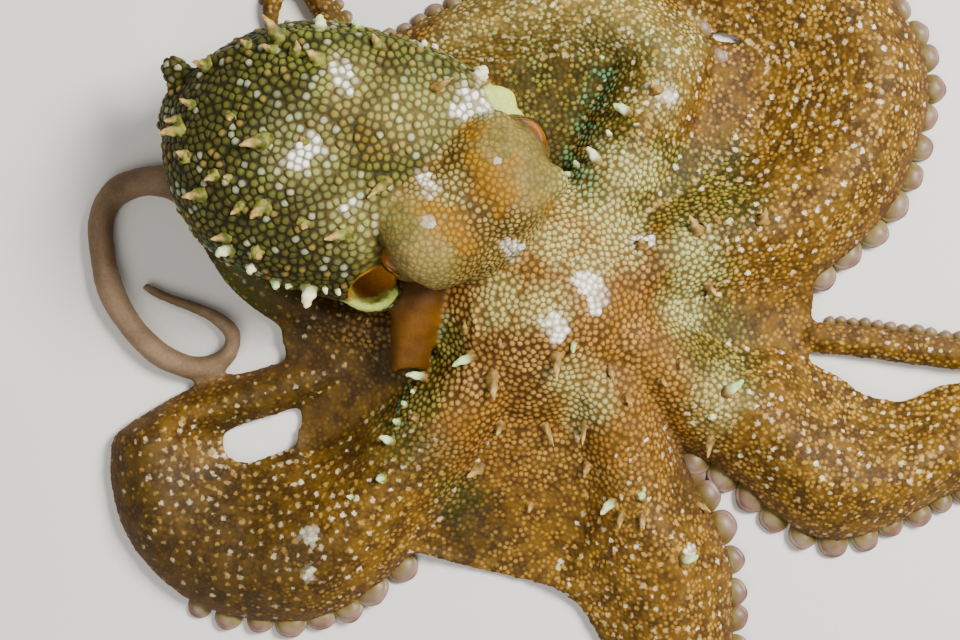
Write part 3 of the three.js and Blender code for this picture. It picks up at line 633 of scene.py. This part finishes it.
def open_eyes(spots, zones):
    """The skin sinks behind each eyeball inside the lids and stands up as a fold around them."""
    lid = np.zeros(len(spots))
    for centre, outward in EYES.values():
        out = unit(np.array([*outward, EYE_TILT]))
        level = unit(np.cross([0, 0, 1], out))
        upward = np.cross(out, level)
        offset = spots - centre
        far = np.linalg.norm(offset, axis=1)
        way = offset / far[:, None]
        ellipse = np.hypot(way @ level / EYE_OPENING[0], way @ upward / EYE_OPENING[1])
        front = (way @ out > 0) & (far < EYE_RADIUS + 9)
        inside = front & (ellipse < 1)
        depth = EYE_RADIUS - 2.2 * smoothstep(1.0, 0.8, ellipse) + 0.5
        fold = EYE_RADIUS + 0.5 + 0.9 * np.sin(np.pi * np.clip((ellipse - 1) / 0.45, 0, 1))
        ring = front & (ellipse >= 1) & (ellipse < 1.45)
        blend = smoothstep(1.45, 1.15, ellipse)
        target = np.where(inside, depth, far + (np.maximum(fold, 0) - far) * blend)
        moved = inside | ring
        spots = np.where(moved[:, None], centre + way * target[:, None], spots)
        lid = np.maximum(lid, np.where(front, smoothstep(1.7, 1.05, ellipse), 0))
    return spots, lid


spots, lid = open_eyes(spots, zones)
table = np.column_stack([spots, zones, lid])
ngons = []
for level in range(2):
    middle = table[quads].mean(axis=1)
    face_normal = unit(np.cross(table[quads[:, 2], :3] - table[quads[:, 0], :3],
                                table[quads[:, 3], :3] - table[quads[:, 1], :3]))
    chosen = (face_normal[:, 2] > np.where(middle[:, 3] > 0.5, -0.6, -0.15)) & (middle[:, 2] > 1.5)
    if level == 1:
        chosen &= (middle[:, 3:5].max(axis=1) > 0.5) & (middle[:, 5] < 0.5) & (face_normal[:, 2] > -0.3)
    table, quads, ngons = refined(table, quads, ngons, chosen)
    table = smoothed(table, edges_of(quads, ngons), 2)
lap("refined %d" % len(quads))
spots, zones, lid = table[:, :3], table[:, 3:10], table[:, 10]
mantle, head, funnel, arm_skin, thin, edge, lip = zones.T
normals = normals_of(spots, quads)


# ---- Granules ----
def spacing_of(zones):
    """Distance between granules: large on the mantle, fine on the arms."""
    mantle, head, _, arm_skin = zones.T[:4]
    return 2.35 + 0.75 * mantle - 0.1 * head - 0.35 * arm_skin


def scattered(count):
    """Granule centres spread evenly, no two nearer than the spacing there."""
    corner = table[quads]
    upright = normals[quads].mean(axis=1)[:, 2] > np.where(corner[:, :, 3].mean(axis=1) > 0.5, -0.75, -0.25)
    bare = np.maximum.reduce([corner[:, :, 5].mean(axis=1), corner[:, :, 7].mean(axis=1)]) > 0.7
    area = np.linalg.norm(np.cross(corner[:, 2, :3] - corner[:, 0, :3], corner[:, 3, :3] - corner[:, 1, :3]), axis=1)
    area = area * upright * ~bare * (corner[:, :, 2].mean(axis=1) > 1.5)
    pick = rng.choice(len(quads), count, p=area / area.sum())
    u, v = rng.random((2, count, 1))
    a, b, c, d = (corner[pick, k] for k in range(4))
    tries = (a * (1 - u) + b * u) * (1 - v) + (d * (1 - u) + c * u) * v
    apart = spacing_of(tries[:, 3:10]) * 0.82
    cell = 3.2
    keys = np.floor(tries[:, :3] / cell).astype(int)
    grid, kept = {}, []
    around = [(i, j, k) for i in (-1, 0, 1) for j in (-1, 0, 1) for k in (-1, 0, 1)]
    for n, (x, y, z), (i, j, k), r in zip(range(count), tries[:, :3].tolist(), keys.tolist(), (apart**2).tolist()):
        clear = True
        for di, dj, dk in around:
            for px, py, pz in grid.get((i + di, j + dj, k + dk), ()):
                if (px - x)**2 + (py - y)**2 + (pz - z)**2 < r:
                    clear = False
                    break
            if not clear:
                break
        if clear:
            grid.setdefault((i, j, k), []).append((x, y, z))
            kept.append(n)
    return tries[kept]


seeds = scattered(210000)
lap("seeds %d" % len(seeds))
tree = KDTree(len(seeds))
for n, spot in enumerate(seeds[:, :3].tolist()):
    tree.insert(spot, n)
tree.balance()
find = tree.find_n
nearest = np.empty(len(spots), int)
first, second = np.empty(len(spots)), np.empty(len(spots))
for n, spot in enumerate(spots.tolist()):
    (_, nearest[n], first[n]), (_, _, second[n]) = find(spot, 2)
lap("nearest")


# ---- Dots in rows along the arms ----
def dot_rows():
    """Pale dots in rows that follow each arm: x, y, z, radius and paleness."""
    surface = BVHTree.FromPolygons(spots.tolist(), quads.tolist())
    rows = []
    for name, arm in arms.items():
        along = 24.0
        while along < arm.total - 4:
            x, y, ix, iy, height = arm.at(along / arm.total)[0]
            width = math.hypot(ix - x, iy - y)
            count = max(1, int(width / 4.2))
            for k in range(count):
                share = (k + 0.5 + rng.uniform(-0.12, 0.12)) / count
                px = x + (ix - x) * share + rng.normal(0, 0.4)
                py = y + (iy - y) * share + rng.normal(0, 0.4)
                hit, _, _, _ = surface.ray_cast(Vector((px, py, 200)), Vector((0, 0, -1)))
                if hit and hit.z < height + 4 and rng.random() < 0.85:
                    rows.append([*hit, rng.uniform(0.5, 1.1) * min(1, 0.55 + height / 45), rng.random() ** 2.2])
            along += 4.3
    return np.array(rows)


dots = dot_rows()
tree = KDTree(len(dots))
for n, spot in enumerate(dots[:, :3].tolist()):
    tree.insert(spot, n)
tree.balance()
dot, dotshade = np.full(len(spots), 9.0), np.zeros(len(spots))
for n in np.flatnonzero((arm_skin > 0.15) & (normals[:, 2] > -0.2)).tolist():
    _, which, far = tree.find(spots[n])
    dot[n], dotshade[n] = far - dots[which, 3], dots[which, 4]
lap("dots %d" % len(dots))

def brow_cover():
    """1 on the smooth outer parts of the brows."""
    cover = np.zeros(len(spots))
    for name, centre in BROWS.items():
        offset = spots - centre
        outward = (offset @ SIDE) * (1 if name == "L" else -1)
        far = np.hypot((outward - 9) / 15, (offset @ FRONT) / 25)
        cover = np.maximum(cover, smoothstep(1.15, 0.6, far))
    return cover * head * smoothstep(38, 50, spots[:, 2])


def swell(spots, size, seed):
    """Slow smooth noise from -1 to 1 with waves of about the given size."""
    places = spots / size + seed
    return np.array([noise.noise(place) for place in places.tolist()])


def pocket_cover():
    """1 inside the gill pocket."""
    centre, radii = GILL_POCKET
    offset = spots - centre
    local = np.stack([offset @ SIDE / radii[0], offset @ FRONT / radii[1], offset[:, 2] / radii[2]], 1)
    return smoothstep(1.22, 1.1, np.linalg.norm(local, axis=1)) * (1 - lip)


# Colour patches are decided per granule, so that they end at granules' edges.
shade = rng.random(len(seeds))
jitter = rng.uniform(0.65, 1.35, len(seeds))
ragged = seeds[:, :3] + 5 * np.array([noise.noise_vector(Vector(spot) / 11) for spot in seeds[:, :3]])
patch = {name: np.clip(blobs(seeds if name == "white" else ragged, rows) * jitter, 0, 1)
         for name, rows in PATCHES.items()}
patch["white"] = smoothstep(0.35, 1.05, patch["white"]) * (1 - 0.5 * seeds[:, 4] * (shade < 0.5))
tall = (rng.random(len(seeds)) < 0.05 + 0.05 * seeds[:, 3]) & (seeds[:, 4] < 0.3)
patch["tall"] = tall * 1.0
gap = second - first
core = first / spacing_of(zones)
dome = smoothstep(0, 0.9, gap) * (1 - 0.75 * np.clip(core / 0.62, 0, 1)**2)
brow = brow_cover()
pocket = pocket_cover()
relief = (0.5 + 0.3 * mantle - 0.2 * arm_skin) * (1 - 0.75 * brow) * (1 - 0.7 * patch["plain"][nearest] * arm_skin)
relief *= 1 - np.maximum.reduce([funnel, thin, lip, lid, pocket])
relief *= smoothstep(-0.25 - 0.35 * mantle, 0.1 - 0.3 * mantle, normals[:, 2]) * smoothstep(1, 3, spots[:, 2])
height = relief * dome * (1 + 0.9 * patch["tall"][nearest] + 0.3 * (shade[nearest] - 0.5))

rumple = smoothstep(1, 8, spots[:, 2]) * (1 - np.maximum(lid, lip))
height += rumple * (0.9 * swell(spots, 16, 3.7) + 0.35 * swell(spots, 6, 8.1)) * (1 - 0.6 * mantle) * (1 - 0.7 * head)
for path, rise, width in RIDGES:
    near = path_distance(spots[:, :2], path)
    height += rise * np.exp(-(near / width)**2) * smoothstep(0, 0.4, normals[:, 2])
spots = spots + normals * height[:, None]
spots[:, 2] = np.maximum(spots[:, 2], 0.5)
lap("displaced")


# ---- Meshes and pieces ----
def finish_piece(piece, nodes=()):
    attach(piece, "root")
    if nodes:
        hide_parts(*nodes)


def skin_object():
    mesh = bpy.data.meshes.new("skin")
    loops = np.concatenate([quads.ravel(), *ngons])
    totals = np.concatenate([np.full(len(quads), 4), [len(n) for n in ngons]]).astype(int)
    mesh.vertices.add(len(spots))
    mesh.loops.add(len(loops))
    mesh.polygons.add(len(totals))
    mesh.vertices.foreach_set("co", (spots * MM).ravel())
    mesh.loops.foreach_set("vertex_index", loops)
    mesh.polygons.foreach_set("loop_start", np.concatenate([[0], np.cumsum(totals)[:-1]]))
    mesh.polygons.foreach_set("use_smooth", np.ones(len(totals), bool))
    mesh.update(calc_edges=True)
    values = {"gap": gap, "core": core, "shade": shade[nearest], "dot": dot, "dotshade": dotshade, "brow": brow, "mantle": mantle, "head": head,
              "funnel": funnel, "arm": arm_skin, "thin": thin, "edge": edge, "lip": lip, "lid": lid,
              "pocket": pocket, "under": smoothstep(0.1 - 0.3 * mantle, -0.5 - 0.35 * mantle, normals[:, 2])}
    values.update({name: cover[nearest] for name, cover in patch.items()})
    for name, value in values.items():
        mesh.attributes.new(name, "FLOAT", "POINT").data.foreach_set("value", value.astype(np.float32))
    made = bpy.data.objects.new("skin", mesh)
    bpy.context.scene.collection.objects.link(made)
    return made


skin = skin_object()
lap("mesh")


# ---- Materials ----
def colour(code):
    channels = [int(code[i:i + 2], 16) / 255 for i in (1, 3, 5)]
    return (*[c / 12.92 if c <= 0.04045 else ((c + 0.055) / 1.055) ** 2.4 for c in channels], 1)


class Paint:
    """A node material being built."""

    def __init__(self, name, **settings):
        self.material = bpy.data.materials.new(name)
        self.material.use_nodes = True
        self.tree = self.material.node_tree
        self.shader = self.tree.nodes["Principled BSDF"]
        for key, value in settings.items():
            self.shader.inputs[key.replace("_", " ")].default_value = value

    def node(self, kind, links=(), output=0, **settings):
        """Adds a node, sets its properties, feeds its inputs and returns one output."""
        made = self.tree.nodes.new(kind)
        for key, value in settings.items():
            setattr(made, key, value)
        for key, value in dict(links).items():
            if isinstance(value, bpy.types.NodeSocket):
                self.tree.links.new(value, made.inputs[key])
            else:
                made.inputs[key].default_value = value
        return made.outputs[output]

    def read(self, name):
        return self.node("ShaderNodeAttribute", output="Fac", attribute_name=name)

    def ramp(self, value, low, high, to_low=0.0, to_high=1.0):
        return self.node("ShaderNodeMapRange", {0: value, 1: low, 2: high, 3: to_low, 4: to_high},
                         interpolation_type="SMOOTHSTEP")

    def times(self, a, b):
        return self.node("ShaderNodeMath", {0: a, 1: b}, operation="MULTIPLY")

    def mix(self, factor, a, b, blend="MIX"):
        a, b = (colour(v) if isinstance(v, str) else v for v in (a, b))
        return self.node("ShaderNodeMix", {0: factor, 6: a, 7: b}, output=2, data_type="RGBA", blend_type=blend)

    def noise(self, scale, detail=2.0, kind="ShaderNodeTexNoise"):
        place = self.node("ShaderNodeTexCoord", output="Object")
        return self.node(kind, {"Vector": place, "Scale": scale, "Detail": detail}, output=0)

    def wear(self, piece, base, bump=None, strength=0.3, depth=0.0002):
        self.tree.links.new(base, self.shader.inputs["Base Color"])
        if bump is not None:
            normal = self.node("ShaderNodeBump", {"Height": bump, "Strength": strength, "Distance": depth})
            self.tree.links.new(normal, self.shader.inputs["Normal"])
        piece.data.materials.append(self.material)


def skin_material():
    # wet octopus skin: light granules in a dark net, pale dots on the arms, with painted shade in the dark patches and
    # painted highlights on a few mantle granules
    p = Paint("octopus_skin_wet", Roughness=0.62, Specular_IOR_Level=0.16, Subsurface_Weight=0.05,
              Subsurface_Scale=0.0015)
    read = {name: p.read(name) for name in (
        "gap", "core", "shade", "dot", "dotshade", "mantle", "head", "brow", "funnel", "arm", "thin", "edge",
        "lip", "lid", "pocket", "under", "tall", *PATCHES)}
    cloud = p.ramp(p.noise(55, 3), 0.35, 0.65)
    broad = p.ramp(p.noise(18, 3), 0.35, 0.65)
    mottle = p.ramp(p.noise(150, 3), 0.4, 0.62)
    granule = p.mix(read["mantle"], p.mix(cloud, "#9c6c24", "#b88c44"), p.mix(cloud, "#666a1a", "#84842c"))
    granule = p.mix(p.times(read["arm"], 0.85), granule, p.mix(cloud, "#8a6214", "#a67c24"))
    granule = p.mix(p.times(read["green"], 0.75), granule, p.mix(cloud, "#66701c", "#828a34"))
    granule = p.mix(p.times(read["aqua"], 0.75), granule, "#54b480")
    granule = p.mix(p.times(read["head"], 0.75), granule, p.mix(cloud, "#86702e", "#a08a4c"))
    granule = p.mix(p.times(read["amber"], 0.5), granule, "#a06806")
    granule = p.mix(p.ramp(read["shade"], 0, 1, 0.0, 0.5), granule, "#4a3606")
    # darker granules in the dark patches: partly darker skin, partly painted shade
    granule = p.mix(p.times(read["dark"], 0.7), granule, "#3a2e06")
    granule = p.mix(p.times(read["mantle"], 0.36), granule, "#2e2a08")
    granule = p.mix(p.times(read["tall"], 0.35), granule, "#a8843c")
    granule = p.mix(p.times(read["cream"], p.ramp(read["mantle"], 0, 1, 0.6, 0.3)), granule, "#c8cc86")
    # painted highlights: a random few of the mantle's granules turned pale blue-grey as glints on the wet skin
    granule = p.mix(p.times(read["mantle"], p.ramp(read["shade"], 0.84, 0.9, 0, 0.4)), granule, "#c4cca4")
    granule = p.mix(read["white"], granule, "#fdfaf4")
    net = p.mix(read["mantle"], p.mix(broad, "#402502", "#583904"), "#2a2404")
    net = p.mix(p.times(read["arm"], 0.8), net, p.mix(mottle, "#3c2602", "#644606"))
    net = p.mix(p.times(read["head"], 0.7), net, p.mix(broad, "#443206", "#5a4a12"))
    net = p.mix(p.times(read["green"], 0.7), net, p.mix(p.times(read["arm"], read["plain"]), "#1e2402", "#5a5a1a"))
    net = p.mix(p.times(read["cream"], 0.4), net, "#867434")
    # darker net in the dark patches: partly darker skin, partly painted shade
    net = p.mix(p.times(read["dark"], 0.55), net, "#1c1402")
    net = p.mix(p.times(read["white"], p.ramp(read["mantle"], 0, 1, 0.8, 0.4)), net, "#c4b898")
    cover = p.times(p.ramp(read["gap"], 0.1, 0.9), p.ramp(read["core"], 0.62, 0.2))
    # on the arms many granules fade into the skin
    faded = p.times(read["arm"], p.ramp(read["shade"], 0.3, 0.7, 0.15, 0.75))
    faded = p.mix(p.times(read["arm"], read["plain"]), faded, "#dedede")
    cover = p.times(cover, p.ramp(faded, 0, 1, 1, 0))
    base = p.mix(cover, net, granule)
    brow = p.mix(p.ramp(read["gap"], 0.0, 1.2, 0.55, 1.0), "#56481a", p.mix(cloud, "#7c6c30", "#947a40"))
    brow = p.mix(p.times(p.ramp(p.noise(260, 2), 0.45, 0.62), 0.5), brow, "#46441a")
    brow = p.mix(p.times(read["white"], 0.85), brow, "#ece4d2")
    base = p.mix(p.times(read["brow"], 0.85), base, brow)
    base = p.mix(p.times(read["head"], p.times(read["amber"], 0.95)), base, p.mix(cover, "#6e4a00", "#966800"))
    pale = p.mix(read["dotshade"], "#a47c2c", "#e8dcb8")
    blot = p.node("ShaderNodeMath", {0: read["dot"], 1: p.ramp(p.noise(750, 2), 0.3, 0.7, -0.45, 0.45)}, operation="ADD")
    # pale dots dimmed in the dark patches, which are partly painted shade
    pale = p.mix(p.times(read["dark"], 0.6), pale, "#5a4410")
    base = p.mix(p.times(p.ramp(blot, 0.4, -0.4), p.ramp(read["thin"], 1, 0, 0, 0.85)), base, pale)
    base = p.mix(read["thin"], base, p.mix(cloud, "#665038", "#7e654c"))
    base = p.mix(p.times(read["edge"], 0.45), base, "#523624")
    base = p.mix(read["funnel"], base, p.mix(cloud, "#482a00", "#603a00"))
    base = p.mix(p.times(read["lid"], 0.7), base, "#46300a")
    base = p.mix(read["pocket"], base, "#a0680a")
    base = p.mix(read["lip"], base, "#bcc85e")
    base = p.mix(read["under"], base, "#9a8058")
    base = p.mix(p.ramp(p.noise(900, 2), 0.35, 0.65, 0.0, 0.16), base, "#1c1002")
    p.wear(skin, base, p.noise(1400, 2), 0.25, 0.0003)


skin_material()
flesh = [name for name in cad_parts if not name.startswith("eye")]
finish_piece(skin, flesh)


# ---- Papillae, suckers and eyes ----
surface = BVHTree.FromPolygons(spots.tolist(), quads.tolist())


class Pieces:
    """Many small closed shapes gathered in one mesh, with one value per point."""

    def __init__(self):
        self.points, self.quads, self.values, self.count = [], [], [], 0

    def add_rings(self, rings, value):
        """A skin of rings, closed over its last ring."""
        count, ring = rings.shape[:2]
        i, j = np.meshgrid(np.arange(count - 1), np.arange(ring), indexing="ij")
        a = (i * ring + j).ravel()
        b = (i * ring + (j + 1) % ring).ravel()
        self.points.append(rings.reshape(-1, 3))
        self.quads.append(np.stack([a, b, b + ring, a + ring], 1) + self.count)
        self.values.append(value.ravel())
        self.count += count * ring

    def piece(self, name, slot, attribute):
        made = new_object(name, np.concatenate(self.points), np.concatenate(self.quads))
        layer = made.data.attributes.new(attribute, "FLOAT", "POINT")
        layer.data.foreach_set("value", np.concatenate(self.values).astype(np.float32))
        finish_piece(made)
        return made


def frame_of(axis):
    """Two directions square to an axis."""
    axis = unit(np.asarray(axis, float))
    other = unit(np.cross(axis, [0, 0, 1] if abs(axis[2]) < 0.9 else [1, 0, 0]))
    return axis, other, np.cross(axis, other)


def add_papilla(pieces, blunt, x, y, lean_x, lean_y, radius):
    """A soft spike or knob: a wide foot in the skin, a bent shaft and a round tip."""
    hit, normal, _, _ = surface.ray_cast(Vector((x, y, 200)), Vector((0, 0, -1)))
    if hit is None:
        return
    normal = unit(np.array(normal) + [0, 0, 0.3])
    lean = np.array([lean_x, lean_y, 0.0])
    length = np.linalg.norm(lean)
    radius *= 1.0 if blunt else 1.25
    lean, length = lean * 0.82, length * 0.82
    rise = normal * (0.35 * length + 0.9 * radius)
    t = np.concatenate([[-0.35, -0.12], 1 - (1 - np.linspace(0, 1, 14)) ** 1.5])
    up_to = np.clip(t, 0, 1)
    line = np.array(hit) + np.outer(t, rise) + np.outer(up_to ** 1.2, lean)
    taper = 0.3 if blunt else 0.66
    girth = radius * (1.1 - taper * up_to + 0.45 * np.exp(-((t + 0.15) / 0.22) ** 2))
    girth *= np.sqrt(1 - up_to ** 3)
    turn = np.linspace(0, 2 * np.pi, 16, endpoint=False)
    rings = []
    for spot, wide, ahead in zip(line, girth, np.gradient(line, axis=0)):
        _, side, up = frame_of(ahead)
        wobble = wide * (1 + 0.16 * np.sin(3 * turn + x + 5 * wide) + 0.1 * np.sin(2 * turn + y - 9 * wide))
        rings.append(spot + np.outer(wobble * np.cos(turn), side) + np.outer(wobble * np.sin(turn), up))
    pieces.add_rings(np.array(rings), np.repeat(up_to[:, None], len(turn), axis=1))


# Half section of a sucker, from the top of its back over the rim and into the cup: distance
# from its axis and height, both over its radius.
CUP = np.array([(0.0, 0.64), (0.2, 0.64), (0.42, 0.6), (0.6, 0.52), (0.74, 0.42), (0.83, 0.33), (0.87, 0.26),
                (0.93, 0.25), (1.0, 0.19), (1.03, 0.1), (1.0, 0.02), (0.9, 0.0), (0.7, 0.06), (0.45, 0.16),
                (0.34, 0.24), (0.3, 0.4), (0.0, 0.44)])


def add_sucker(pieces, centre, axis, radius, outward=None):
    """A bell with its cup along the axis; the value runs from 0 under the arm to 1 at the outer rim."""
    axis, side, up = frame_of(axis)
    turn = np.linspace(0, 2 * np.pi, 36 if radius > 3 else 20, endpoint=False)
    share = CUP[:, :1] * (1 + 0.04 * np.sin(2 * turn + centre[0]) + 0.02 * np.sin(5 * turn + centre[1]))
    rings = (np.asarray(centre) + radius * (share * np.cos(turn))[..., None] * side
             + radius * (share * np.sin(turn))[..., None] * up - radius * CUP[:, 1:, None] * axis)
    if outward is None:
        values = np.ones(rings.shape[:2])
    else:
        values = 0.5 + 0.5 * (rings - centre) @ outward / radius
    pieces.add_rings(rings, np.clip(values, 0, 1))


def arm_suckers(pieces, arm, first, last):
    """Suckers spread on the floor along the outer edge, smaller towards the tip, seen from their backs."""
    along = first * arm.total
    while along < last * arm.total:
        x, y, ix, iy, height = arm.at(along / arm.total)[0]
        before, after = arm.at((along - 2) / arm.total)[0], arm.at((along + 2) / arm.total)[0]
        step = math.hypot(*(after[:2] - before[:2])) / 4
        diameter = max(SUCKER_RATIO * height, 2.7)
        out = unit(np.array([after[1] - before[1], before[0] - after[0], 0.0]))
        if out[:2] @ (x - ix, y - iy) < 0:
            out = -out
        radius = diameter / 2 * rng.uniform(0.9, 1.06)
        lean = rng.uniform(0.08, 0.34)
        stand = rng.uniform(-0.06, 0.1) * diameter
        centre = np.array([x, y, 0.1 + 1.08 * radius * lean / math.hypot(1, lean)]) + out * stand
        add_sucker(pieces, centre, out * lean + np.array([0, 0, -1]), radius, out)
        along += rng.uniform(0.9, 1.04) * SUCKER_PITCH * diameter / max(step, 0.4)


def under_suckers(pieces, arm):
    """The second row, flat on the floor under the arm."""
    along = 30.0
    while along < arm.total - 6:
        x, y, ix, iy, height = arm.at(along / arm.total)[0]
        diameter = max(0.75 * SUCKER_RATIO * height, 2)
        share = 0.5 * min(1, 14 / math.hypot(ix - x, iy - y)) + 0.08
        spot = np.array([x + (ix - x) * share, y + (iy - y) * share, 0.08])
        add_sucker(pieces, spot, (0, 0, -1), diameter / 2)
        along += 1.2 * diameter


def ground_of(p):
    """Colour of the skin around a papilla: olive on the mantle, brown on the arms."""
    place = p.node("ShaderNodeSeparateXYZ", {0: p.node("ShaderNodeTexCoord", output="Object")})
    return p.mix(p.ramp(place, -0.05, -0.065), p.mix(p.ramp(p.noise(300), 0.4, 0.6), "#5a4010", "#86642a"),
                 p.mix(p.ramp(p.noise(300), 0.4, 0.6), "#4a4a10", "#74722a"))


for kind, rows in PAPILLAE.items():
    gathered = Pieces()
    for row in rows:
        add_papilla(gathered, kind == "white", *row)
    spikes = gathered.piece(f"papillae_{kind}", "papilla_skin", "tip")
    if kind == "tan":
        # soft skin spikes, brown at the foot and flesh coloured at the tip
        p = Paint("papilla_skin_tan", Roughness=0.55, Specular_IOR_Level=0.25)
        shades = p.mix(p.ramp(p.read("tip"), 0.15, 0.8), ground_of(p),
                       p.mix(p.ramp(p.noise(400), 0.4, 0.6), "#8c6c34", "#b09050"))
    else:
        # soft skin spikes, milky with a blue-green cast towards the tip
        p = Paint("papilla_skin_white", Roughness=0.5, Specular_IOR_Level=0.25)
        milky = p.mix(p.ramp(p.noise(40), 0.4, 0.6), "#a8cc80", "#dcd4a8")
        shades = p.mix(p.ramp(p.read("tip"), 0.0, 0.5), ground_of(p), milky)
    p.wear(spikes, shades, p.noise(1200), 0.2, 0.0003)

for name, arm in arms.items():
    gathered = Pieces()
    if name in SUCKER_STRETCH:
        arm_suckers(gathered, arm, *SUCKER_STRETCH[name])
    under_suckers(gathered, arm)
    cups = gathered.piece(f"suckers_{name}", "sucker_skin", "outer")
    # thin wet skin, brown by the arm and mauve with a dark line at the rim
    p = Paint(f"sucker_skin_{name}", Roughness=0.42, Specular_IOR_Level=0.3, Subsurface_Weight=0.08,
              Subsurface_Scale=0.001)
    outer = p.read("outer")
    back = p.mix(p.ramp(p.noise(110), 0.35, 0.65), "#5e4c1c", "#746636")
    shades = p.mix(p.ramp(outer, 0.45, 0.85), back, p.mix(p.ramp(p.noise(140), 0.35, 0.65), "#6a4c40", "#7e6656"))
    shades = p.mix(p.times(p.ramp(outer, 0.9, 0.955), 0.5), shades, "#452a24")
    p.wear(cups, shades, p.noise(1500), 0.2, 0.0002)


def add_eye(name, centre, outward):
    """An eyeball with its own axes: X looks out, Z is up, the slit pupil lies along Y."""
    out = unit(np.array([*outward, EYE_TILT]))
    level = unit(np.cross([0, 0, 1], out))
    turned = Matrix(np.stack([out, level, np.cross(out, level)], 1).tolist()).to_4x4()
    ball = Body()
    lat = np.linspace(0.01, np.pi - 0.01, 48)
    lon = np.linspace(0, 2 * np.pi, 96, endpoint=False)
    bulge = EYE_RADIUS * (1 + 0.03 * np.maximum(np.cos(lat), 0) ** 8)
    ball.add_rings(np.dstack([np.outer(bulge * np.cos(lat), np.ones_like(lon)),
                              np.outer(bulge * np.sin(lat), np.cos(lon)),
                              np.outer(bulge * np.sin(lat), np.sin(lon))]))
    eye = new_object(f"eyeball_{name}", np.concatenate(ball.points), np.concatenate(ball.faces))
    eye.matrix_world = Matrix.Translation(Vector(centre) * MM) @ turned
    # wet eyeball: copper iris with fine streaks, black slit pupil, dark outer ring
    p = Paint(f"eye_glossy_{name}", Roughness=0.12, Specular_IOR_Level=0.3, Coat_Weight=0.4, Coat_Roughness=0.03)
    place = p.node("ShaderNodeSeparateXYZ", {0: p.node("ShaderNodeTexCoord", output="Object")}, output=0)
    split = place.node
    mm = {axis: p.times(split.outputs[axis], 1000) for axis in "XYZ"}
    ring = p.node("ShaderNodeMath", {0: p.times(mm["Y"], mm["Y"]), 1: p.times(mm["Z"], mm["Z"])}, operation="ADD")
    away = p.node("ShaderNodeMath", {0: ring, 1: 0.5}, operation="POWER")
    streak = p.node("ShaderNodeMath", {0: mm["Z"], 1: mm["Y"]}, operation="ARCTAN2")
    streaks = p.node("ShaderNodeTexNoise", {"W": p.times(streak, 9), "Scale": 3, "Detail": 3},
                     noise_dimensions="1D")
    iris = p.mix(p.ramp(streaks, 0.35, 0.65), "#5e3000", "#925200")
    iris = p.mix(p.ramp(away, 4.0, 9.0), iris, "#341a02")
    slit = p.node("ShaderNodeMath", {0: p.ramp(p.node("ShaderNodeMath", {0: mm["Z"]}, operation="ABSOLUTE"), 1.7, 1.2),
                                     1: p.ramp(p.node("ShaderNodeMath", {0: mm["Y"]}, operation="ABSOLUTE"), 6.4, 5.4)},
                  operation="MULTIPLY")
    p.wear(eye, p.mix(slit, iris, "#050302"))
    finish_piece(eye, [f"eye_{name}"])


for name, (centre, outward) in EYES.items():
    add_eye(name, centre, outward)
lap("pieces")


# ---- Camera, light and floor ----
def add_stage():
    scene = bpy.context.scene
    camera = bpy.data.cameras.new("camera")
    camera.lens, camera.sensor_width = LENS, 36
    holder = bpy.data.objects.new("camera", camera)
    holder.location = Vector(CAMERA) * MM
    scene.collection.objects.link(holder)
    scene.camera = holder
    world = bpy.data.worlds.new("studio")
    world.use_nodes = True
    world.node_tree.nodes["Background"].inputs["Color"].default_value = colour("#e8eef4")
    world.node_tree.nodes["Background"].inputs["Strength"].default_value = 0.45
    scene.world = world
    for name, place, size, power in LAMPS:
        light = bpy.data.lights.new(name, "AREA")
        light.size, light.energy = size, power
        lamp = bpy.data.objects.new(name, light)
        lamp.location = place
        lamp.rotation_euler = (-Vector(place)).to_track_quat("-Z", "Y").to_euler()
        scene.collection.objects.link(lamp)
    half = 3000
    floor = new_object("floor", [(-half, -half, 0), (half, -half, 0), (half, half, 0), (-half, half, 0)],
                       [(0, 1, 2, 3)])
    paint = Paint("pale_matt_floor", Roughness=0.85)
    paint.wear(floor, paint.mix(paint.noise(3), "#cfc9c0", "#d5d0c8"))


add_stage()
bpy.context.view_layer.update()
lap("end")
